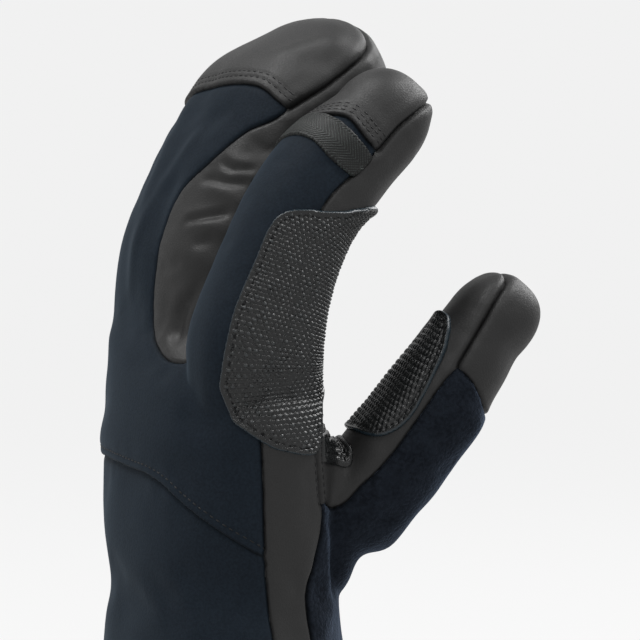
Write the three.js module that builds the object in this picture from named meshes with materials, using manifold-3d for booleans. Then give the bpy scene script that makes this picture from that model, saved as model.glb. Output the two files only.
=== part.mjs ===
// A three-finger snowboard mitten for the left hand, worn upright with its fingers curled.
// Units are millimetres, +Z runs from the cuff to the fingertips, the palm faces +X and
// the thumb side faces -Y. The origin is the centre of the cuff's opening.
//
// The mitten is three padded tubes: the hand with its three fingers, the index finger and the thumb.
// Their skins are joined, the hollow is cut out, and narrow cuts along the seams part the wall
// into the panels that the real mitten is sewn from. The grip patches and the loop lie on top.
import * as THREE from 'three';
import Module from 'manifold-3d';
import { ConvexGeometry } from 'three/addons/geometries/ConvexGeometry.js';
import { mergeVertices } from 'three/addons/utils/BufferGeometryUtils.js';

const wasm = await Module();
wasm.setup();

// Driving dimensions
const WALL = 3.5; // shell cloth, padding and lining together
const SEAM_GAP = 0.3; // clearance between neighbouring panels
const LIFT = 0.4; // clearance under the pieces that lie on the panels
const PATCH = 1.1; // thickness of a sewn-on grip patch
const WEBBING = 1; // thickness of the webbing loop
const DEGREES = Math.PI / 180;

// Each tube is a row of cross-sections. x, y and z are the centre of a section, lean is how far
// it is tipped towards the palm, depth is its half size from back to palm, breadth its half size
// from the thumb side to the little finger's side, and square how boxy it is (2 is an ellipse).
// The last section is closed by a dome as long as tip.
const section = (x, y, z, lean, depth, breadth, square) => ({ x, y, z, lean, depth, breadth, square });

const HAND = {
  tip: 19.3,
  sections: [
    section(2, 0, 0, 0, 35, 54, 2.3),
    section(1, 0, 40, 0, 33, 52, 2.3),
    section(0, 0, 72, 0, 30.5, 48, 2.35),
    section(0, 0, 86, 0, 30, 46.5, 2.35),
    section(-1, 0, 105, 0, 29, 49, 2.35),
    section(-1.5, 0, 125, 0, 27.5, 51, 2.35),
    section(-2.5, 0, 142, 1, 25.2, 51, 2.4),
    section(-1.7, 5, 151, 3, 23.2, 46, 2.7),
    section(-0.9, 14, 157.5, 5, 21.8, 37.5, 2.9),
    section(0, 17.5, 164, 7, 20.8, 34.3, 2.9),
    section(2, 17.5, 184, 14, 20.4, 34.3, 2.8),
    section(8.4, 17.5, 201, 24, 20, 34.5, 2.6),
    section(15.2, 17.5, 215.8, 34, 19.4, 34, 2.4),
    section(24, 17, 228.6, 47, 20.5, 32.5, 2.35),
    section(36.8, 16, 237.4, 64, 18.4, 30.5, 2.35),
  ],
};

const INDEX = {
  tip: 16.6,
  sections: [
    section(-3, -30, 118, 6, 13, 10, 2.4),
    section(-4.5, -33.3, 140, 10, 18.6, 15, 2.6),
    section(-5, -34.5, 158.2, 18, 18.9, 16.2, 3),
    section(0.7, -34.7, 178.7, 27, 17, 16.1, 2.7),
    section(9.3, -34.7, 197.5, 33, 16.3, 15.9, 2.45),
    section(20.9, -34.6, 211.9, 38, 16.5, 15.5, 2.3),
    section(34.7, -34.5, 224.5, 43, 14.5, 14.7, 2.3),
  ],
};

const THUMB = {
  tip: 16.5,
  sections: [
    section(8, -20, 90, 40, 17, 17, 2.2),
    section(22, -27, 105, 40, 17.5, 17.5, 2.2),
    section(33.5, -33, 118.7, 38, 17.2, 17, 2.2),
    section(44.8, -38, 133.1, 36, 15.4, 16.5, 2.2),
    section(54.8, -41.5, 148.4, 37, 13.9, 15.5, 2.2),
    section(67, -44, 164.2, 40, 13.1, 14.5, 2.2),
  ],
};

// Folds stand out from a tube's skin, or sink into it where their height is negative. row and turn
// are the middle of a fold, rows and degrees its half length and half width, and slant is how many
// degrees it turns in one row.
const fold = (row, turn, rows, degrees, height, slant) => ({ row, turn, rows, degrees, height, slant });

HAND.folds = [
  fold(10.6, 352, 1.9, 7, 0.9, -6), // long soft folds of the cloth on the back
  fold(10.2, 367, 1.8, 6, -0.7, -4),
  fold(9.35, 415, 0.17, 30, 0.7, -60), // gathers of the finger gusset
  fold(9.85, 418, 0.17, 30, 0.8, -60),
  fold(10.35, 422, 0.16, 28, 0.8, -60),
  fold(10.85, 426, 0.15, 26, 0.7, -60),
  fold(11.35, 430, 0.15, 24, 0.6, -60),
  fold(5.3, 360, 0.35, 70, 1.1, 0), // the back panel stands over the cuff's seam
  fold(3.1, 270, 0.5, 50, -1.2, 0), // the wrist's soft creases
  fold(5.75, 140, 0.45, 22, -1.8, 0), // the hollow beside the thumb's crotch
];
INDEX.folds = [];
THUMB.folds = [
  fold(3.1, 180, 0.35, 60, 0.6, 0), // the suede bags a little behind the thumb's knuckle
  fold(3.6, 145, 0.35, 60, 1.4, 0),
  fold(4.85, 135, 0.35, 60, -1.7, 0), // the dent under the pad of the thumb
  fold(2.1, -10, 0.5, 60, -1.6, 0), // the dip of the crotch
  fold(0.92, 165, 0.26, 60, -3.3, 0), // the suede's crease at the heel of the hand
];

// Catmull-Rom interpolation between q and r, and of every column of a tube's sections at a row
// number that may have a fraction.
const spline = (p, q, r, s, f) =>
  0.5 * (2 * q + (r - p) * f + (2 * p - 5 * q + 4 * r - s) * f * f + (3 * q - p - 3 * r + s) * f ** 3);

function sectionAt({ sections }, row) {
  const last = sections.length - 1;
  const from = Math.min(Math.floor(row), last - 1);
  const [a, b, c, d] = [-1, 0, 1, 2].map((step) => sections[Math.min(Math.max(from + step, 0), last)]);
  const blend = (key) => [key, spline(a[key], b[key], c[key], d[key], row - from)];
  return Object.fromEntries(Object.keys(b).map(blend));
}

function foldHeight({ folds }, row, turn) {
  return folds.reduce((sum, f) => {
    const along = (row - f.row) / f.rows;
    const off = turn - f.turn - f.slant * (row - f.row);
    const round = (off - 360 * Math.round(off / 360)) / f.degrees;
    return sum + f.height * Math.exp(-along * along - round * round);
  }, 0);
}

// A point of a tube's skin. turn is in degrees, from 0 at the back of the hand, by the thumb side
// at 90 and the palm at 180, to the little finger's side at 270. inset is the depth below the skin,
// and a row past the last section lies on the dome.
const DOME_WIDTH = 2.6;
const DOME_LENGTH = 2.2;
function skin(tube, row, turn, inset = 0) {
  const last = tube.sections.length - 1;
  const at = sectionAt(tube, Math.min(row, last));
  const rise = Math.min(Math.max(0, row - last), 1) * 90 * DEGREES;
  const shrink = Math.cos(rise) ** (2 / DOME_WIDTH);
  const forward = (tube.tip - inset) * Math.sin(rise) ** (2 / DOME_LENGTH);
  const squarish = (v) => Math.sign(v) * Math.abs(v) ** (2 / at.square);
  const proud = foldHeight(tube, row, turn) - inset;
  const out = -squarish(Math.cos(turn * DEGREES)) * (at.depth + proud) * shrink;
  const side = -squarish(Math.sin(turn * DEGREES)) * (at.breadth + proud) * shrink;
  const lean = at.lean * DEGREES;
  return new THREE.Vector3(
    at.x + Math.sin(lean) * forward + Math.cos(lean) * out,
    at.y + side,
    at.z + Math.cos(lean) * forward - Math.sin(lean) * out,
  );
}

// Rows at even steps from one row to another, the last left out.
const steps = (from, to, step) => Array.from({ length: Math.round((to - from) / step) }, (_, i) => from + i * step);

// A closed mesh as a manifold-3d solid, and back again.
function solidOf(geometry, closer = 1e-4) {
  geometry.deleteAttribute('normal');
  geometry.deleteAttribute('uv');
  const merged = mergeVertices(geometry, closer);
  return new wasm.Manifold(
    new wasm.Mesh({
      numProp: 3,
      vertProperties: new Float32Array(merged.attributes.position.array),
      triVerts: new Uint32Array(merged.index.array),
    }),
  );
}

function geometryOf(solid) {
  const mesh = solid.getMesh();
  return new THREE.BufferGeometry()
    .setAttribute('position', new THREE.BufferAttribute(new Float32Array(mesh.vertProperties), 3))
    .setIndex(new THREE.BufferAttribute(new Uint32Array(mesh.triVerts), 1));
}

// Rings of points, each ring as long as the next, joined into a closed solid with flat ends.
function loft(rings) {
  const size = rings[0].length;
  const positions = rings.flat().flatMap((p) => [p.x, p.y, p.z]);
  const faces = [];
  for (let ring = 0; ring < rings.length - 1; ring += 1) {
    for (let i = 0; i < size; i += 1) {
      const a = ring * size + i;
      const b = ring * size + ((i + 1) % size);
      faces.push(a, b, b + size, a, b + size, a + size);
    }
  }
  const end = (rings.length - 1) * size;
  for (let i = 1; i < size - 1; i += 1) faces.push(0, i + 1, i, end, end + i, end + i + 1);
  const geometry = new THREE.BufferGeometry()
    .setAttribute('position', new THREE.Float32BufferAttribute(positions, 3))
    .setIndex(faces);
  const solid = solidOf(geometry);
  if (solid.volume() > 0) return solid;
  geometry.setIndex(faces.reverse());
  return solidOf(geometry);
}

const DOME_ROWS = [0.3, 0.55, 0.75, 0.9, 0.99];
function tubeSolid(tube, rows, sides, inset, dip = 0) {
  const last = tube.sections.length - 1;
  const ring = (row) => Array.from({ length: sides }, (_, i) => skin(tube, row, (i * 360) / sides, inset));
  const rings = [...rows, last, ...DOME_ROWS.map((rise) => last + rise)].map(ring);
  if (dip > 0) rings.unshift(rings[0].map((p) => p.clone().add(new THREE.Vector3(0, 0, -dip))));
  return loft(rings);
}

const HAND_ROWS = [...steps(0, 4, 1), ...steps(4, 9, 0.5), ...steps(9, 12, 0.25), ...steps(12, 14, 0.5)];
const FINGER_ROWS = steps(0, 6, 0.5);
const THUMB_ROWS = steps(0, 5, 0.5);
const HAND_SIDES = 32;
const FINGER_SIDES = 20;
function allTubes(inset, coarser = 1, dip = 0) {
  const thin = (rows) => rows.filter((_, i) => i % coarser === 0);
  return tubeSolid(HAND, thin(HAND_ROWS), HAND_SIDES / coarser, inset, dip)
    .add(tubeSolid(INDEX, thin(FINGER_ROWS), FINGER_SIDES / coarser, inset))
    .add(tubeSolid(THUMB, thin(THUMB_ROWS), FINGER_SIDES / coarser, inset));
}

// A seam is a path of places on the tubes' skins. The cut along it is as wide as the seam's gap
// and goes through the wall, or through the layer that lies on it. Its reach is from above to
// below the skin, and where a path steps from one tube to another it is above and below by more,
// with a dip of its lower edge.
const WALL_CUT = { above: 1.8, below: WALL + 2.5, stepAbove: 3, stepBelow: 14, dip: 9 };
const LAYER_CUT = { above: 3.5, below: 1, stepAbove: 6, stepBelow: 3, dip: 0 };
const CUT_STEP = 5; // longest straight piece of a cut
const on = (tube, places) => places.map(([row, turn]) => ({ tube, row, turn }));

function cutEdges(path, leg, f, reach) {
  const b = path[leg];
  const c = path[leg + 1];
  if (b.tube !== c.tube) {
    const [top, bottom] = [-reach.stepAbove, reach.stepBelow].map((inset) =>
      skin(b.tube, b.row, b.turn, inset).lerp(skin(c.tube, c.row, c.turn, inset), f),
    );
    bottom.z -= reach.dip;
    return [top, bottom];
  }
  const sameTube = (place) => place && place.tube === b.tube;
  const a = sameTube(path[leg - 1]) ? path[leg - 1] : b;
  const d = sameTube(path[leg + 2]) ? path[leg + 2] : c;
  const row = spline(a.row, b.row, c.row, d.row, f);
  const turn = spline(a.turn, b.turn, c.turn, d.turn, f);
  return [-reach.above, reach.below].map((inset) => skin(b.tube, row, turn, inset));
}

function seamCut(path, reach) {
  const places = path.map(({ tube, row, turn }) => skin(tube, row, turn));
  const edges = [cutEdges(path, 0, 0, reach)];
  for (let leg = 0; leg < path.length - 1; leg += 1) {
    const count = Math.ceil(places[leg].distanceTo(places[leg + 1]) / CUT_STEP);
    for (let i = 1; i <= count; i += 1) edges.push(cutEdges(path, leg, i / count, reach));
  }
  const blocks = edges.slice(1).map((next, i) => {
    const corners = [...edges[i], ...next];
    const along = next[0].clone().add(next[1]).sub(edges[i][0]).sub(edges[i][1]);
    const through = next[0].clone().add(edges[i][0]).sub(next[1]).sub(edges[i][1]);
    const onward = along.clone().setLength(SEAM_GAP);
    const across = along.cross(through).setLength(SEAM_GAP / 2);
    const ends = corners.map((p, corner) => p.clone().addScaledVector(onward, corner < 2 ? -1 : 1));
    const sides = [1, -1].flatMap((sign) => ends.map((p) => p.clone().addScaledVector(across, sign)));
    return solidOf(new ConvexGeometry(sides));
  });
  return wasm.Manifold.union(blocks);
}

const SEAMS = [
  // The edge of the back: up the little finger's side, over the tips, down the gusset to its foot,
  // up the index finger, over its tip and down the thumb side to the hem.
  [
    ...on(HAND, [[-0.05, 278], [2, 278], [5, 280], [7, 282], [9, 280], [11, 278], [13, 280], [13.8, 288], [14.2, 303],
      [14.42, 330], [14.5, 360], [14.55, 400], [14.45, 424], [14.24, 436], [13.9, 440], [13.3, 442], [12.65, 434],
      [12.3, 425], [12, 411], [11.7, 402], [11.4, 394], [11.1, 384], [10.8, 375], [10.4, 371.5], [9.8, 370],
      [9.2, 370.5], [8.5, 373], [8, 374.5], [7.5, 377], [7.28, 383], [7.3, 391], [7.36, 396]]),
    ...on(INDEX, [[1.78, 323], [2.2, 316], [3, 306], [4, 297], [5, 288], [6, 276], [6.4, 256], [6.68, 230],
      [6.76, 180], [6.68, 130], [6.4, 104], [6, 92], [5.4, 94], [4.7, 90], [4.2, 88], [3.4, 90], [2.4, 92],
      [1.6, 86], [1.25, 81]]),
    ...on(HAND, [[5.95, 76], [5.4, 76], [4.5, 78], [3.6, 80], [2.8, 82], [2, 84], [1, 86], [-0.05, 87]]),
  ],
  // The palm edge of the finger gusset, from the back's edge over the fingertips down to the crotch
  // and up the index finger.
  [
    ...on(HAND, [[13.65, 288], [13.9, 275], [14.3, 255], [14.62, 225], [14.72, 180], [14.62, 140], [14.35, 118],
      [13.9, 114], [13, 119], [11, 124], [9.6, 129], [8.5, 131], [7.7, 126]]),
    ...on(INDEX, [[2.12, 207], [2.5, 215], [3, 224], [4, 236], [5, 240], [6, 240], [6.5, 232], [6.77, 218]]),
  ],
  // The edge of the leather cap over the three fingertips.
  on(HAND, [[12.66, 79], [12.65, 76], [12.65, 62], [12.72, 44], [12.64, 24], [12.56, 8], [12.48, -10], [12.4, -30],
    [12.4, -60], [12.45, -82.5]]),
  // The slanting seam between the back panel and the cuff panel.
  on(HAND, [[3.62, 82.5], [3.68, 78], [3.84, 68], [4, 58], [4.2, 46], [4.4, 34], [4.64, 22], [4.8, 10], [4.88, -2],
    [4.96, -18], [5, -50], [5, -82.5]]),
  // The edge of the index finger's cap.
  on(INDEX, [[5.4, 97], [5.38, 94], [5.44, 70], [5.52, 44], [5.44, 26], [5.36, 10], [5.3, -10], [5.25, -40],
    [5.2, -66], [5.15, -77]]),
  // The thumb is set in along this seam, from the hem up round its root and down the palm to the hem.
  on(HAND, [[-0.05, 106], [1, 105], [2.1, 102], [3, 100], [3.4, 104], [3.7, 108], [4.1, 113], [4.4, 112], [4.8, 110],
    [5.3, 110], [5.58, 118], [5.7, 132], [5.7, 146], [5.55, 158], [5.05, 168], [4.4, 174], [3.7, 175], [3, 171],
    [2, 166], [1, 165], [-0.05, 165]]),
  // The suede's edge up the thumb, over its tip and down its far side.
  [
    ...on(HAND, [[4.38, 109], [4.4, 112], [4.42, 117]]),
    ...on(THUMB, [[1.4, 65], [1.9, 69.5], [2.4, 69], [3, 64], [3.6, 63.5], [4.08, 66], [4.4, 62.5], [4.8, 57.5],
      [5.2, 52.5], [5.5, 44], [5.68, 20], [5.7, 0], [5.68, -20], [5.55, -42], [5.3, -56], [4.8, -66], [4, -76], [3, -80],
      [2.1, -80]]),
    ...on(HAND, [[4.66, 173], [4.66, 176]]),
  ],
  // The seam between the thumb's cap and its suede.
  on(THUMB, [[4.1, 63], [4.08, 66], [4.06, 84], [3.92, 116], [3.84, 134], [3.85, 150], [3.9, 180], [3.92, 215], [4, 250], [4.05, 284],
    [4.06, 287]]),
];

// One panel of the wall: the piece that holds a place in the middle of its thickness.
const PANELS = [
  { name: 'back_panel', tube: HAND, row: 6.5, turn: 0, material: 'softshell' },
  { name: 'cuff_panel', tube: HAND, row: 2.5, turn: 0, material: 'softshell' },
  { name: 'fingertip_cap', tube: HAND, row: 13.4, turn: 0, material: 'leather' },
  { name: 'finger_gusset', tube: HAND, row: 10.5, turn: 80, material: 'leather' },
  { name: 'index_cap', tube: INDEX, row: 6, turn: 0, material: 'leather' },
  { name: 'palm_panel', tube: HAND, row: 8.5, turn: 200, material: 'leather' },
  { name: 'thumb_front', tube: THUMB, row: 3.5, turn: 0, material: 'leather' },
  { name: 'thumb_cap', tube: THUMB, row: 5, turn: 150, material: 'leather' },
  { name: 'thumb_suede', tube: THUMB, row: 2.5, turn: 150, material: 'suede' },
];

// Pieces that are sewn on top of the wall. Each is the part of an even layer inside its outline,
// or, in the thumb's crotch, between its corners.
const OVERLAYS = [
  {
    name: 'index_grip_patch',
    material: 'grip_knit',
    thickness: PATCH,
    middle: { tube: INDEX, row: 3, turn: 110 },
    outline: [
      ...on(INDEX, [[1.25, 41], [1.84, 48], [2.48, 48], [3.04, 50], [3.5, 50], [3.76, 58], [4.08, 90], [4.5, 122],
        [4.8, 152], [4.65, 168], [4, 172], [3, 172], [2.4, 168], [2.1, 160]]),
      ...on(HAND, [[6.55, 126], [6.2, 121], [5.8, 116], [5.4, 112], [5.2, 106], [5.2, 96], [5.3, 84], [5.5, 72],
        [5.75, 60]]),
      ...on(INDEX, [[1.25, 41]]),
    ],
  },
  {
    name: 'thumb_grip_patch',
    material: 'grip_knit',
    thickness: PATCH,
    middle: { tube: THUMB, row: 3.4, turn: 0 },
    outline: on(THUMB, [[4.64, 0], [4.6, 14], [4.24, 38], [3.6, 50], [2.96, 55], [2.6, 48], [2.45, 34], [2.45, 12],
      [2.5, -10], [2.6, -32], [3, -46], [3.8, -46], [4.35, -30], [4.6, -12], [4.64, 0]]),
  },
  {
    name: 'crotch_grip_patch',
    material: 'grip_knit',
    thickness: PATCH,
    corners: [
      ...on(HAND, [[5.05, 114], [5.45, 116.5], [5.5, 134], [5.45, 152]]),
      ...on(THUMB, [[1.9, 40], [2.1, 28], [2.12, 0], [2.2, -22]]),
    ],
  },
  {
    name: 'webbing_loop',
    material: 'webbing',
    thickness: WEBBING,
    middle: { tube: INDEX, row: 5.1, turn: 40 },
    outline: on(INDEX, [[5.26, 93], [5.33, 72], [5.38, 44], [5.36, 12], [5.3, -10], [5.22, -26], [5.12, -44],
      [4.8, -46], [4.84, -26], [4.96, 0], [5, 20], [4.98, 40], [4.88, 64], [4.86, 92], [5.06, 93], [5.26, 93]]),
  },
];

const COLOURS = {
  softshell: { color: 0x1b222d, roughness: 0.85, metalness: 0 },
  leather: { color: 0x232325, roughness: 0.55, metalness: 0 },
  suede: { color: 0x11161f, roughness: 1, metalness: 0 },
  grip_knit: { color: 0x191b1d, roughness: 0.45, metalness: 0 },
  webbing: { color: 0x121413, roughness: 0.8, metalness: 0 },
};
const MATERIALS = Object.fromEntries(
  Object.entries(COLOURS).map(([name, look]) => [name, new THREE.MeshStandardMaterial({ name, ...look })]),
);

const FINEST = 0.11; // detail smaller than this is left out of the faceted solids
// Merging the nearest points leaves slivers beside a solid: only its largest body is kept.
const tidied = (solid) =>
  [0.01, 0.004, 0.002].reduce((kept, closer) => {
    const bodies = solidOf(geometryOf(kept), closer).decompose();
    return bodies.reduce((most, body) => (body.volume() > most.volume() ? body : most));
  }, solid);

const mitten = new THREE.Group();
function addPiece(name, solid, material) {
  const mesh = new THREE.Mesh(geometryOf(tidied(solid.asOriginal().simplify(FINEST))), MATERIALS[material]);
  mesh.name = name;
  mitten.add(mesh);
}

const HOLLOW_DIP = 5; // the hollow runs out through the cuff's opening
const wall = allTubes(0).subtract(allTubes(WALL, 2, HOLLOW_DIP));
const parted = (solid, cuts) => cuts.reduce((left, cut) => left.subtract(cut), solid).decompose();
const holding = (solids, { tube, row, turn }, inset) => {
  const probe = solidOf(new THREE.OctahedronGeometry(0.4).translate(...skin(tube, row, turn, inset)));
  return solids.find((solid) => solid.intersect(probe).volume() > 0);
};

const panels = parted(wall, SEAMS.map((path) => seamCut(path, WALL_CUT)));
for (const { name, material, ...middle } of PANELS) {
  addPiece(name, holding(panels, middle, WALL / 2), material);
}
for (const { name, material, thickness, middle, outline, corners } of OVERLAYS) {
  const layer = allTubes(-LIFT - thickness).subtract(allTubes(-LIFT));
  if (corners) {
    const block = corners.flatMap(({ tube, row, turn }) => [-4, 3].map((inset) => skin(tube, row, turn, inset)));
    addPiece(name, layer.intersect(solidOf(new ConvexGeometry(block))), material);
  } else {
    const cut = seamCut(outline, LAYER_CUT);
    addPiece(name, holding(parted(layer, [cut]), middle, -LIFT - thickness / 2), material);
  }
}

export default mitten;
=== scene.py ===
# %% [markdown]
# # A three-finger snowboard mitten
#
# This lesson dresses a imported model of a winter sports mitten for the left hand. It stands
# upright, worn, with its fingers curled. The model, or frame, gives plain solids for every
# panel. Each one is replaced here by a padded panel of cloth, leather or suede with its own
# seams, stitches, folds and finish. All places are in metres in the frame's own axes: +Z runs
# from the cuff to the fingertips, the palm faces +X and the thumb side faces -Y.

# %% Load the frame
import math

import bmesh
import bpy
import numpy as np
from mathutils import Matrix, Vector, noise
from mathutils.bvhtree import BVHTree
from mathutils.kdtree import KDTree


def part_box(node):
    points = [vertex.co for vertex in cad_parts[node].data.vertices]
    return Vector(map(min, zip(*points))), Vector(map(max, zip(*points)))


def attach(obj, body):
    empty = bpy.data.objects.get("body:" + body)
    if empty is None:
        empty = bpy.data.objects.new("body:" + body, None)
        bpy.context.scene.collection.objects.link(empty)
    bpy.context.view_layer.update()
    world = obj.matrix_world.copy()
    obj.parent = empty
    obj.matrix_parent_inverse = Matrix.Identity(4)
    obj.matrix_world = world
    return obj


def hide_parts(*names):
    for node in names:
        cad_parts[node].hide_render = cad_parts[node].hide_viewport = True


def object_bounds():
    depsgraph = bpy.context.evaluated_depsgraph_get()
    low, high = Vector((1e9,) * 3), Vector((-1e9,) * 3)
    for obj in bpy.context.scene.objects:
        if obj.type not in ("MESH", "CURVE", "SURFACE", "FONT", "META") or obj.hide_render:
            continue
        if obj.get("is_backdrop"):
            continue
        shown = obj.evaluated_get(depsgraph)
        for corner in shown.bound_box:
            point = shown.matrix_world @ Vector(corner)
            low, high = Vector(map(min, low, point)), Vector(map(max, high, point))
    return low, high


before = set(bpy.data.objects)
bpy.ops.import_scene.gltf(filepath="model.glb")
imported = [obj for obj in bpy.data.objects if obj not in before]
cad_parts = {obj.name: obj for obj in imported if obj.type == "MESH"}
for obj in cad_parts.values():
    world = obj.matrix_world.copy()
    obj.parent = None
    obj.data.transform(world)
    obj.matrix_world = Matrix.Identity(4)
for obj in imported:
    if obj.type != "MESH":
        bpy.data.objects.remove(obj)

CAD_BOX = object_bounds()
MM = 0.001
print("frame nodes:", sorted(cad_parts))

# %% [markdown]
# ## Camera
#
# The photograph was taken from the thumb side, a little towards the back of the hand, almost
# level and from far off. A long lens on a distant camera gives the same flat perspective. The
# picture is square, and its lower edge cuts the cuff off 70 mm above the hem.

# %% Place the camera
AZIMUTH = math.radians(-25)
ELEVATION = math.radians(2)
DISTANCE = 1.6
RIGHT = Vector((math.cos(AZIMUTH), math.sin(AZIMUTH), 0))
TOWARDS_CAMERA = Vector((
    math.sin(AZIMUTH) * math.cos(ELEVATION),
    -math.cos(AZIMUTH) * math.cos(ELEVATION),
    math.sin(ELEVATION),
))
AIM = RIGHT * 0.0294 + Vector((0, 0, 0.166))

bpy.ops.object.camera_add(location=AIM + TOWARDS_CAMERA * DISTANCE)
camera = bpy.context.object
camera.name = "photo_camera"
camera.rotation_euler = (-TOWARDS_CAMERA).to_track_quat("-Z", "Y").to_euler()
camera.data.lens = 300
camera.data.sensor_width = 36
camera.data.clip_end = 30
bpy.context.scene.camera = camera
print("camera at", [round(v, 3) for v in camera.location])

# %% [markdown]
# ## The form under the panels
#
# A padded mitten is three soft tubes: the hand with its three fingers, the index finger and
# the thumb. Each tube is a table of cross-sections along its middle line, the same table that
# the frame's solids come from. The rows of a table are x, y and z of a section's centre, how
# far it leans to the palm, its half depth, its half breadth, and how boxy it is, in
# millimetres and degrees. The table is closed by a dome as long as its tip.

# %% Tables of the three tubes
HAND = {"tip": 19.3, "sections": np.array([
    (2, 0, 0, 0, 35, 54, 2.3),
    (1, 0, 40, 0, 33, 52, 2.3),
    (0, 0, 72, 0, 30.5, 48, 2.35),
    (0, 0, 86, 0, 30, 46.5, 2.35),
    (-1, 0, 105, 0, 29, 49, 2.35),
    (-1.5, 0, 125, 0, 27.5, 51, 2.35),
    (-2.5, 0, 142, 1, 25.2, 51, 2.4),
    (-1.7, 5, 151, 3, 23.2, 46, 2.7),
    (-0.9, 14, 157.5, 5, 21.8, 37.5, 2.9),
    (0, 17.5, 164, 7, 20.8, 34.3, 2.9),
    (2, 17.5, 184, 14, 20.4, 34.3, 2.8),
    (8.4, 17.5, 201, 24, 20, 34.5, 2.6),
    (15.2, 17.5, 215.8, 34, 19.4, 34, 2.4),
    (24, 17, 228.6, 47, 20.5, 32.5, 2.35),
    (36.8, 16, 237.4, 64, 18.4, 30.5, 2.35),
])}
INDEX = {"tip": 16.6, "sections": np.array([
    (-3, -30, 118, 6, 13, 10, 2.4),
    (-4.5, -33.3, 140, 10, 18.6, 15, 2.6),
    (-5, -34.5, 158.2, 18, 18.9, 16.2, 3),
    (0.7, -34.7, 178.7, 27, 17, 16.1, 2.7),
    (9.3, -34.7, 197.5, 33, 16.3, 15.9, 2.45),
    (20.9, -34.6, 211.9, 38, 16.5, 15.5, 2.3),
    (34.7, -34.5, 224.5, 43, 14.5, 14.7, 2.3),
])}
THUMB = {"tip": 16.5, "sections": np.array([
    (8, -20, 90, 40, 17, 17, 2.2),
    (22, -27, 105, 40, 17.5, 17.5, 2.2),
    (33.5, -33, 118.7, 38, 17.2, 17, 2.2),
    (44.8, -38, 133.1, 36, 15.4, 16.5, 2.2),
    (54.8, -41.5, 148.4, 37, 13.9, 15.5, 2.2),
    (67, -44, 164.2, 40, 13.1, 14.5, 2.2),
])}
print("sections:", [len(tube["sections"]) for tube in (HAND, INDEX, THUMB)])

# %% [markdown]
# ## Folds of the worn cloth
#
# A mitten on a bent hand is never smooth. Long soft folds run down its back, the gusset
# between the fingers is gathered, and the wrist and the thumb's root crease. Each fold is a
# soft ridge, or a valley where its height is negative, laid along the tube by its middle row
# and turn. Slant makes it run across the rows. A turn of 0 degrees is the back of the hand,
# 90 the thumb side, 180 the palm and 270 the little finger's side.

# %% Tables of the folds
# row, turn, half length in rows, half width in degrees, height in mm, slant in degrees a row
HAND["folds"] = [
    (10.6, 352, 1.9, 7, 0.9, -6),
    (10.2, 367, 1.8, 6, -0.7, -4),
    (9.35, 415, 0.17, 30, 0.7, -60),
    (9.85, 418, 0.17, 30, 0.8, -60),
    (10.35, 422, 0.16, 28, 0.8, -60),
    (10.85, 426, 0.15, 26, 0.7, -60),
    (11.35, 430, 0.15, 24, 0.6, -60),
    (5.3, 360, 0.35, 70, 1.1, 0),
    (3.1, 270, 0.5, 50, -1.2, 0),
    (5.75, 140, 0.45, 22, -1.8, 0),
]
INDEX["folds"] = []
THUMB["folds"] = [
    (3.1, 180, 0.35, 60, 0.6, 0),
    (3.6, 145, 0.35, 60, 1.4, 0),
    (4.85, 135, 0.35, 60, -1.7, 0),
    (2.1, -10, 0.5, 60, -1.6, 0),
    (0.92, 165, 0.26, 60, -3.3, 0),
]


def fold_height(tube, rows, turns):
    """How far the folds stand out of a tube's skin, in millimetres."""
    height = np.zeros_like(rows)
    for row, turn, length, width, tall, slant in tube["folds"]:
        along = (rows - row) / length
        off = turns - turn - slant * (rows - row)
        across = (off - 360 * np.round(off / 360)) / width
        height += tall * np.exp(-along**2 - across**2)
    return height


def section_at(tube, rows):
    """Every column of a tube's table at each row, by a smooth curve through the table."""
    table = tube["sections"]
    last = len(table) - 1
    start = np.clip(np.floor(rows).astype(int), 0, last - 1)
    f = (rows - start)[:, None]
    p, q, r, s = [table[np.clip(start + step, 0, last)] for step in (-1, 0, 1, 2)]
    bend = (2 * p - 5 * q + 4 * r - s) * f**2 + (3 * q - p - 3 * r + s) * f**3
    return 0.5 * (2 * q + (r - p) * f + bend)


def skin(tube, rows, turns, lift=0.0):
    """Points in metres on a tube's skin, or above it by lift, at rows and turns."""
    rows = np.asarray(rows, float)
    turns = np.asarray(turns, float)
    last = len(tube["sections"]) - 1
    x, y, z, lean, depth, breadth, square = section_at(tube, np.minimum(rows, last)).T
    rise = np.clip(rows - last, 0, 1) * math.pi / 2
    shrink = np.cos(rise) ** (2 / 2.6)
    forward = (tube["tip"] + lift) * np.sin(rise) ** (2 / 2.2)
    proud = fold_height(tube, rows, turns) + lift
    round_turn = np.radians(turns)
    cos, sin = np.cos(round_turn), np.sin(round_turn)
    out = -np.sign(cos) * np.abs(cos) ** (2 / square) * (depth + proud) * shrink
    side = -np.sign(sin) * np.abs(sin) ** (2 / square) * (breadth + proud) * shrink
    lean = np.radians(lean)
    return MM * np.stack((
        x + np.sin(lean) * forward + np.cos(lean) * out,
        y + side,
        z + np.cos(lean) * forward - np.sin(lean) * out,
    ), axis=-1)


tip_of_thumb = skin(THUMB, [6.0], [0.0])[0]
print("thumb's tip at", tip_of_thumb.round(4))

# %% [markdown]
# ## Wrapping a net into a tube
#
# A tube can be made from a flat net that is rolled up: one side of the net becomes the row
# and the other the turn. Rolling a grid keeps its faces even, which an extruded outline would
# not. The two long edges and the points of the tip are then merged, and the open end is
# drawn down and filled, so that the tube is closed.

# %% Roll three grids into tubes
def only(*objects):
    """Selects these objects and nothing else, the first one active."""
    if bpy.context.object and bpy.context.object.mode == "EDIT":
        bpy.ops.object.mode_set(mode="OBJECT")
    bpy.ops.object.select_all(action="DESELECT")
    for obj in objects:
        obj.select_set(True)
    bpy.context.view_layer.objects.active = objects[0]


def edit_all():
    """Opens the active object for editing with all of it selected."""
    bpy.ops.object.mode_set(mode="EDIT")
    bpy.ops.mesh.select_all(action="SELECT")


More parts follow.
